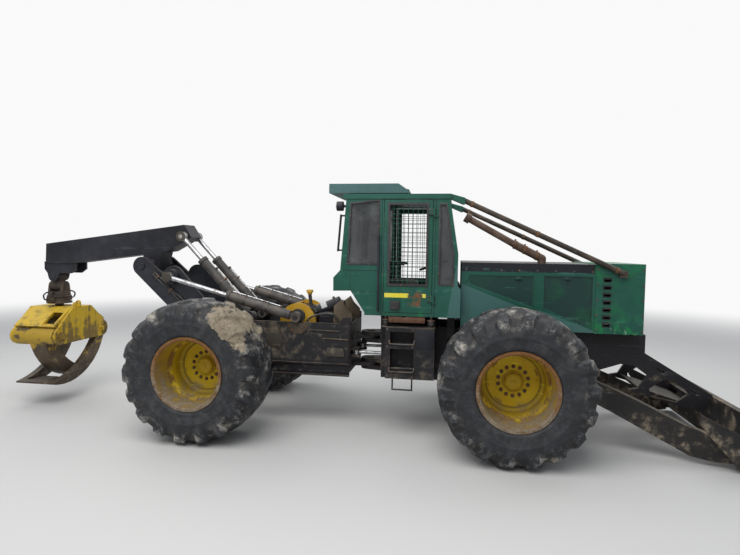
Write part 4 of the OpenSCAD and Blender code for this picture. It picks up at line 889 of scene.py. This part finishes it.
def makeHoodFittings(label, side):
    panel, face, boxFace = (hoodLook[k] for k in ("panel", "face", "boxFace"))
    latches = Shape(side)
    for x, z in hoodLook["latches"]:
        latches.plate(rect(x - 46, z - 24, x + 46, z + 24), panel, face - 4)
        latches.turned([(0, 20), (6, 20), (10, 16), (12, 10), (12, 1)], (x, face - 4, z), 20)
        latches.plate([(x - 5, z - 62), (x + 5, z - 62), (x + 8, z - 24), (x - 8, z - 24)], panel, face - 6)
    latches.make("hood_latches_" + label, "front_frame", "green_hood", "green_paint", bevel=0.003)
    lips = Shape(side)
    for i in range(hoodLook["louvres"]):
        z = hoodLook["louvreLow"] + i * hoodLook["louvrePitch"]
        # Pressed lip over each slot
        lip = ((boxFace, z + 17), (632, z + 8), (634, z + 12), (624, z + 26), (boxFace, z + 34))
        lips.skin([[lips.at(x, y, height) for y, height in lip] for x in (1046, 1050, 1140, 1144)])
    lips.make("hood_louvre_lips_" + label, "front_frame", "green_hood", "green_paint", bevel=0.001)
    bolts = outward(side, 612, [(x, z) for x in (985, 1490) for z in (1400, 1580, 1760, 1940, 2120)])
    bolts += outward(side, 600, [(x, 2090) for x in range(-540, 940, 210)])
    makeBolts("hood_bolts_" + label, "front_frame", bolts, "dark_steel", 9, 6, 14)


for label, side in sides:
    makeHoodFittings(label, side)
core = Shape()
for i in range(34):
    y = -528 + i * 32
    core.box((1385, y, 1420), (1408, y + 6, 2120))
core.box((1408.3, -540, 1400), (1440, 540, 2140)).make("radiator_core", "front_frame", "iron", "iron")
clamps = Shape()
low, high = at(377, -400, 2235), at(45, -400, 2405)
line = (high - low).normalized()
for share in (0.18, 0.62, 0.97):
    place = low.lerp(high, share)
    clamps.turned([(-14, 50.5), (-13, 54), (13, 54), (14, 50.5)], place, 32, line)
    clamps.box(*[tuple((place - at(0, 0, 0)) * mm + Vector(d)) for d in ((-10, -6, 48), (10, 6, 72))])
clamps.make("exhaust_clamps", "front_frame", "rusty_steel", "rust", bevel=0.001)
rings = Shape()
for label, side in sides:
    top, foot = at(-620, side * 648, 2940), at(1257, side * 648, 2080)
    for share in (0.04, 0.52, 0.93):
        rings.turned([(-16, 32.5), (-15, 37), (15, 37), (16, 32.5)], foot.lerp(top, share), 24, top - foot)
rings.make("riser_bands", "front_frame", "rusty_steel", "rust")
print("stage: hood fittings made")

midLook = dict(face=420.3, ramBase=(-2727, 1420), winch=(-2760, 1330), drum=150, ropeRadius=9, ropeTurns=24)


def makeRearFrameFittings(label, side):
    body, face, (x0, z0) = "rear_frame", midLook["face"], midLook["ramBase"]
    arc = [(x0 + 150 * math.cos(a), z0 - 88 + 150 * math.sin(a)) for a in (math.pi * (1 + i / 20) for i in range(21))]
    # Lug under the cylinder's foot, then welded ribs and pads along the muddy upper half, with their thickness
    pads = Shape(side)
    for outline, thick in (([*arc, (x0 + 150, z0 - 84), (x0 - 150, z0 - 84)], 12),
                           ([(-2580, 1236), (-2160, 1232), (-2160, 1246), (-2580, 1252)], 16),
                           ([(-2380, 1130), (-2016, 1122), (-2016, 1140), (-2380, 1146)], 14),
                           ([(-2340, 900), (-2080, 900), (-2100, 1010), (-2320, 1016)], 18),
                           ([(-3260, 1010), (-2960, 980), (-2940, 1180), (-3240, 1210)], 8)):
        pads.plate(outline, face, face + thick)
    pads.make("frame_pads_" + label, body, "muddy_steel", "black_paint", bevel=0.004)
    beam = Shape(side)
    for corners, thick in (((-3300, 800, -2014, 814), 46), ((-3300, 648, -2014, 662), 46),
                           ((-3300, 662.3, -2014, 799.7), 6), ((-2040, 815, -2016, 1330), 14)):
        beam.plate(rect(*corners), face, face + thick)
    beam.make("frame_beam_" + label, body, "frame_black", "black_paint", bevel=0.003)
    ring = [(x0 + 118 * math.cos(a), z0 - 88 + 118 * math.sin(a))
            for a in (math.pi * (1.12 + i * 0.19) for i in range(5))]
    makeBolts("frame_bolts_" + label, body, outward(side, face + 12, ring), "rusty_steel", 12, 10, 19)


for label, side in sides:
    makeRearFrameFittings(label, side)


def makeWinchFittings():
    body, (x, z) = "rear_frame", midLook["winch"]
    rope = Shape()
    radius, turns = midLook["ropeRadius"], midLook["ropeTurns"]
    pitch = radius * 2.02
    for reach, count in ((midLook["drum"], turns), (midLook["drum"] + 15.6, turns - 7)):
        start = -(count - 1) * pitch / 2
        points = []
        for i in range(count * 24 + 1):
            a = 2 * math.pi * i / 24
            points.append(at(x + math.cos(a) * reach, start + pitch * (i / 24 - 0.5) * (count - 1) / count + pitch / 2,
                             z + math.sin(a) * reach))
        rope.tube(points, radius, 6)
    rope.make("winch_rope", "winch_drum", "dark_steel", "steel")
    start, end = at(-2542, -200, 1480), at(-2252, -200, 1610)  # the upper filter's axis
    along = (end - start).normalized()
    out = Vector((0, -1, 0))
    up = along.cross(out)
    outer, inner = ([[start.lerp(end, s) + (out * math.cos(a) + up * math.sin(a)) * lift / mm
                      for a in (math.radians(-50 + 10 * k) for k in range(11))] for s in (0.36, 0.62)]
                    for lift in (78.2, 77.0))
    Shape().skin([o + i[::-1] for o, i in zip(outer, inner)]).make("filter_label", body, "white_label", "plastic")
    cap = Shape().turned([(-2, 60), (0, 78.5), (12, 79.5), (20, 78.5), (22, 60)], start, 40, along)
    cap.turned([(0, 60), (2, 78.5), (10, 79.5), (18, 78.5), (20, 60)], end - along * 0.024, 40, along)
    cap.turned([(0, 26), (14, 26), (18, 20), (18, 1)], end + along * 0.0003, 24, along)
    cap.make("filter_rims", body, "dark_steel", "steel")
    cover = Shape()
    outline = [(-2270, 1342), (-2012, 1342), (-2012, 1470), (-2100, 1560), (-2150, 1650), (-2262, 1560)]
    for low in (-300, 290):
        cover.plate(outline, low, low + 10).box((-2262, low + 1, 1300.3), (-2020, low + 9, 1341.7))
    cover.make("valve_covers", body, "tan_plate", "rust", bevel=0.004)
    hoses = Shape()
    rng = random.Random(4)
    for i in range(9):
        y = -330 + i * 62
        a, b = at(-2240 - rng.uniform(0, 60), y, 1440), at(-2560 - rng.uniform(0, 40), y + rng.uniform(-40, 40), 1400)
        middle = (a + b) / 2 + Vector((rng.uniform(-0.03, 0.03), 0, rng.uniform(0.02, 0.09)))
        hoses.tube([(-2180, y, 1302), a, middle, b, b + Vector((-0.06, 0, -0.06))], 13, 8, 8)
    hoses.tube([(-2500, -300, 1470), (-2570, -300, 1560), (-2594, -300, 1706)], 24, 12, 8)
    hoses.make("valve_hoses", body, "hose_rubber", "hose")
    Shape().turned([(0, 30), (24, 32), (26, 46), (56, 46), (62, 36), (62, 1)], (-2594, -300, 1706), 24, (0, 0, 1)).make(
        "filler_cap", body, "winch_yellow", "yellow_paint")


makeWinchFittings()
print("stage: rear frame and winch fittings made")

ramLook = dict(radius=62, pipe=9)
# Each pair of cylinders: foot and rod's eye in X and Z, sideways place, and the pipe's ends as shares of the way
rams = dict(arch=((-2727, 1420), (-4537, 1905), 500, 0.12, 0.50), boom=((-3450, 1370), (-4483, 2465), 215, 0.12, 0.55),
            blade=((300, 1235), (1000, 880), 500, 0.16, 0.52))


def makeRamPipes(node, base, eye, y, first, last):
    # oil pipe, clamps and end ports on top of each barrel
    pipes, rings, radius = Shape(), Shape(), ramLook["radius"]
    for label, side in sides:
        start, end = at(base[0], side * y, base[1]), at(eye[0], side * y, eye[1])
        line = (end - start).normalized()
        up = Vector((-line.z, 0, line.x))
        up = up if up.z > 0 else -up
        a, b = start.lerp(end, first), start.lerp(end, last)
        rise = ((radius - 3, 0), (radius + 10, 0.01), (radius + 16, 0.05))  # height over the axis, metres along it
        places = [a + up * lift / mm + line * on for lift, on in rise]
        places += [b + up * lift / mm - line * on for lift, on in rise[::-1]]
        pipes.tube(places, ramLook["pipe"], 8, 5)
        for share in (0.25, 0.7):
            place = a.lerp(b, share)
            rings.band(-11, 11, 62.4, 66, place, line).tube([place + up * 0.064, place + up * 0.094], 12, 8)
        for place in (a, b):
            rings.turned([(0, 22), (14, 22), (16, 18), (30, 18), (31, 10)], place + up * 0.0585, 6, up)
    pipes.make(node + "_pipes", node, "rod_steel", "rod")
    rings.make(node + "_clamps", node, "dark_steel", "steel", bevel=0.001)


for name, ram in rams.items():
    makeRamPipes(name + "_barrels", *ram)


def makeArchHoses():
    hoses, clips = Shape(), Shape()
    start, end = Vector((-3930, 1075)), Vector((-5010, 2040))  # the arch's two pins in X and Z
    along = (end - start).normalized()
    across = Vector((along.y, -along.x))
    for label, side in sides:
        for i, offset in enumerate((40, 75)):
            points = []
            for share, wave in ((0.21, 0), (0.34, 5), (0.48, -4), (0.62, 4), (0.76, -3), (0.86, 0)):
                flat = start.lerp(end, share) + across * (offset + wave * (1 - 2 * i))
                points.append(at(flat.x, side * (384.5 + abs(wave) * 0.5), flat.y))
            hoses.tube(points, 13.5, 10, 8)
        for share in (0.26, 0.44, 0.62, 0.8):
            low, high = start.lerp(end, share) + across * 18, start.lerp(end, share) + across * 97
            wide = along * 14
            corners = [tuple(p) for p in (low - wide, high - wide, high + wide, low + wide)]
            clips.plate(corners, side * 398.6, side * 402.6)
            foot = low.lerp(high, 0.02)
            clips.turned([(0, 10), (34, 10)], at(foot.x, side * 370, foot.y), 8, (0, side, 0))
    hoses.make("arch_hose_lines", "arch", "hose_rubber", "hose", stands=("arch_hoses",))
    clips.make("arch_hose_clips", "arch", "dark_steel", "steel", bevel=0.001)


makeArchHoses()
print("stage: cylinders and hoses made")

for name, (base, (x, z), y, first, last) in rams.items():
    # Boss on the outer face of each rod's eye
    shape = Shape()
    for label, side in sides:
        shape.turned([(0, 69.5), (3, 70), (6, 66), (7, 44), (7, 1)], at(x, side * (y + 40.3), z), 32, (0, side, 0))
    shape.make(name + "_rods_bosses", name + "_rods", "muddy_steel", "rust")

grappleLook = dict(x=-6620, frontFace=-6229.7, rearFace=-6950.3, pinY=450, pinZ=1010, boss=78, bossRing=62,
                   rotatorRing=161)


def makeGrappleFittings():
    look = grappleLook
    boss, ringRadius = look["boss"], look["bossRing"]
    bosses, bolts = Shape(), []
    for label, side in sides:
        for x, way in ((look["frontFace"], 1), (look["rearFace"], -1)):
            centre = at(x, side * look["pinY"], look["pinZ"])
            bosses.turned([(0, boss), (9, boss), (12, boss - 4), (12, 40)], centre, 36, (way, 0, 0))
            for a in angles(6):
                spot = Vector((way * 12, math.cos(a) * ringRadius, math.sin(a) * ringRadius))
                bolts.append((centre + spot / mm, (way, 0, 0)))
    bosses.make("pin_bosses", "grapple_head", "worn_yellow", "yellow_paint", bevel=0.001)
    makeBolts("pin_boss_bolts", "grapple_head", bolts, "rusty_steel", 8, 7, 12)
    # Rotator: flanges with bolts, motor block and its short hoses
    x, body, up = look["x"], "rotator", (0, 0, 1)
    ring = Shape().turned([(1441, 150.3), (1441, 170), (1444, 173), (1460, 173), (1463, 170), (1463, 150.3)], (x, 0, 0),
                          48, up)
    ring.turned([(1540, 150.3), (1540, 166), (1556, 166), (1558, 150.3)], (x, 0, 0), 48, up)
    ring.make("rotator_flanges", body, "link_steel", "black_paint", bevel=0.001)
    reach = look["rotatorRing"]
    circle = [(at(x, 0, 0) + Vector((math.cos(a) * reach, math.sin(a) * reach, 1463)) / mm, up) for a in angles(16)]
    makeBolts("rotator_bolts", body, circle, "rusty_steel", 8, 8, 11)
    motor, hoses = Shape(), Shape()
    for label, side in sides:
        motor.box((x - 60, side * 151, 1470), (x + 60, side * 196, 1536))
        for off, lift in ((-34, 26), (34, 40)):
            motor.turned([(0, 16), (12, 16), (14, 12), (26, 12)], at(x + off, side * 196, 1503), 6, (0, side, 0))
            hoses.tube([(x + off, side * 222, 1503), (x + off, side * (232 + lift), 1520),
                        (x + off * 1.2, side * (236 + lift), 1575), (x + off * 1.1, side * 200, 1612),
                        (x + off, side * 100, 1604)], 11, 8, 7)
    motor.make("rotator_ports", body, "link_steel", "black_paint", bevel=0.003)
    hoses.make("rotator_hoses", body, "hose_rubber", "hose")


makeGrappleFittings()
edge = Shape()
for label, side in sides:
    edge.box((2507, side * 8, 46), (2558, side * 1118, 60))
edge.make("blade_edge", "blade", "bare_steel", "steel", bevel=0.002)
print("stage: grapple and blade fittings made")

seatLook = dict(swell=0.011, voxel=0.009, round=0.032, frames=20, pressure=4)  # metres, cloth frames


def padBlock(low, high, crown):
    # rounded block with a crowned top, ready for the cloth step
    mesh = bmesh.new()
    bmesh.ops.create_cube(mesh, size=1)
    low, high = at(*low), at(*high)
    for v in mesh.verts:
        v.co = Vector([(low[i] + high[i]) / 2 + v.co[i] * (high[i] - low[i]) for i in range(3)])
    bmesh.ops.bevel(mesh, geom=mesh.edges[:], offset=seatLook["round"], segments=4, affect="EDGES", profile=0.6)
    longEdges = [e for e in mesh.edges if e.calc_length() > 0.08]
    bmesh.ops.subdivide_edges(mesh, edges=longEdges, cuts=5, use_grid_fill=True)
    middle = (low + high) / 2
    for v in mesh.verts:
        if v.co.z > middle.z:
            along, across = (max(0, 1 - ((v.co[i] - middle[i]) / (high[i] - low[i]) * 2) ** 2) for i in range(2))
            v.co.z += crown * (along * across)
    return mesh


def makePad(name, low, high, crown, lean=None):
    mesh = padBlock(low, high, crown)
    if lean:
        place, angle = lean
        bmesh.ops.rotate(mesh, cent=at(*place), matrix=Matrix.Rotation(math.radians(angle), 3, "Y"), verts=mesh.verts)
    data = bpy.data.meshes.new(name)
    mesh.to_mesh(data)
    mesh.free()
    piece = linked(name, data)
    remesh = piece.modifiers.new("remesh", "REMESH")
    remesh.mode, remesh.voxel_size = "VOXEL", seatLook["voxel"]
    settle(piece)
    start = [v.co.copy() for v in piece.data.vertices]
    cloth = piece.modifiers.new("cloth", "CLOTH")
    cloth.settings.use_pressure = True
    cloth.settings.uniform_pressure_force = seatLook["pressure"]
    cloth.settings.effector_weights.gravity = 0
    for number in range(seatLook["frames"]):
        scene.frame_set(number + 1)
    settle(piece)
    scene.frame_set(1)
    for v, was in zip(piece.data.vertices, start):
        moved = v.co - was
        if moved.length > seatLook["swell"]:
            v.co = was + moved * (seatLook["swell"] / moved.length)
    finer = piece.modifiers.new("finer", "SUBSURF")
    finer.levels = finer.render_levels = 1
    settle(piece)
    piece.data.materials.clear()
    piece.data.materials.append(finish["seat_cloth"])
    piece.data.shade_smooth()
    placed(piece, "front_frame")


makePad("seat_cushion", (-1606, -226, 1826), (-1154, 226, 1906), 0.012)
makePad("seat_back", (-1646, -226, 1944), (-1556, 226, 2536), 0.0, ((-1600, 0, 1940), -7))
base = Shape().box((-1560, -200, 1552), (-1260, 200, 1590))
for i in range(5):
    # Bellows of the suspension
    low, inset = 1590.3 + i * 38, i % 2 * 12
    base.box((inset - 1545, inset - 185, low), (-1275 - inset, 185 - inset, 1626 + i * 38))
base.box((-1600, -215, 1782), (-1200, 215, 1808))
for side in (-1, 1):
    base.tube([(-1590, side * 234, 1800), (-1630, side * 236, 1900), (-1640, side * 236, 2090),
               (-1600, side * 236, 2130), (-1420, side * 236, 2136), (-1330, side * 236, 2130)], 17, 10, 6)
base.make("seat_base", "front_frame", "black_plastic", "plastic", stands=("seat",), bevel=0.004)
print("stage: seat made")

stageLook = dict(floor=60.0, floorColour=(0.62, 0.61, 0.59), clearTo=7.5, whiteFrom=20.0, white=0.95, sky=0.42,
                 skyColour=(0.80, 0.86, 0.95),
                 # softboxes: place from the front axle in metres, power and size
                 softboxes=(((-3, -6, 9), 760, 8), ((-9, 3, 8), 300, 7), ((4, 4, 8), 300, 7)))


def makeStage(look):
    half = look["floor"] / 2
    mesh = bpy.data.meshes.new("floor")
    mesh.from_pydata([(x, y, 0) for x, y in rect(-half, -half, half, half)], [], [(0, 1, 2, 3)])
    plane = linked("floor", mesh)
    tree = newMaterial("floor_paper")
    # Far from the machine the floor fades into the white background
    x, y = axes(tree, objectPlace(tree), 0, 1)
    x = x - (axleX - 2.2)
    far = (x * x + y * y).step(look["clearTo"] ** 2, look["whiteFrom"] ** 2) * tree.node("ShaderNodeLightPath", out=0)
    matt = tree.node("ShaderNodeBsdfPrincipled", {}, {"Base Color": look["floorColour"], "Roughness": 0.9})
    white = tree.node("ShaderNodeEmission", {}, {"Color": (1, 1, 1), "Strength": look["white"]})
    both = tree.node("ShaderNodeMixShader", {}, {0: far, 1: matt, 2: white})
    tree.node("ShaderNodeOutputMaterial", {}, {"Surface": both})
    mesh.materials.append(finish["floor_paper"])
    world = scene.world = bpy.data.worlds.new("world")
    world.use_nodes = True
    world.node_tree.nodes.clear()
    tree = Wire(world.node_tree)
    camera, glossy, through = (tree.node("ShaderNodeLightPath", out=f"Is {k} Ray")
                               for k in ("Camera", "Glossy", "Transmission"))
    sky = tree.node("ShaderNodeBackground", {}, {"Color": look["skyColour"], "Strength": look["sky"]})
    white = tree.node("ShaderNodeBackground", {}, {"Color": (1, 1, 1), "Strength": look["white"]})
    both = tree.node("ShaderNodeMixShader", {}, {0: camera.most(glossy).most(through), 1: sky, 2: white})
    tree.node("ShaderNodeOutputWorld", {}, {"Surface": both})
    for (x, y, z), power, size in look["softboxes"]:
        data = bpy.data.lights.new("softbox", "AREA")
        data.energy, data.size = power, size
        lamp = linked("softbox", data)
        lamp.location = (axleX + x, y, z)
        aim = Vector((axleX - 2, 0, 1)) - lamp.location
        lamp.rotation_euler = aim.to_track_quat("-Z", "Y").to_euler()


makeStage(stageLook)
print("stage: floor and light made")
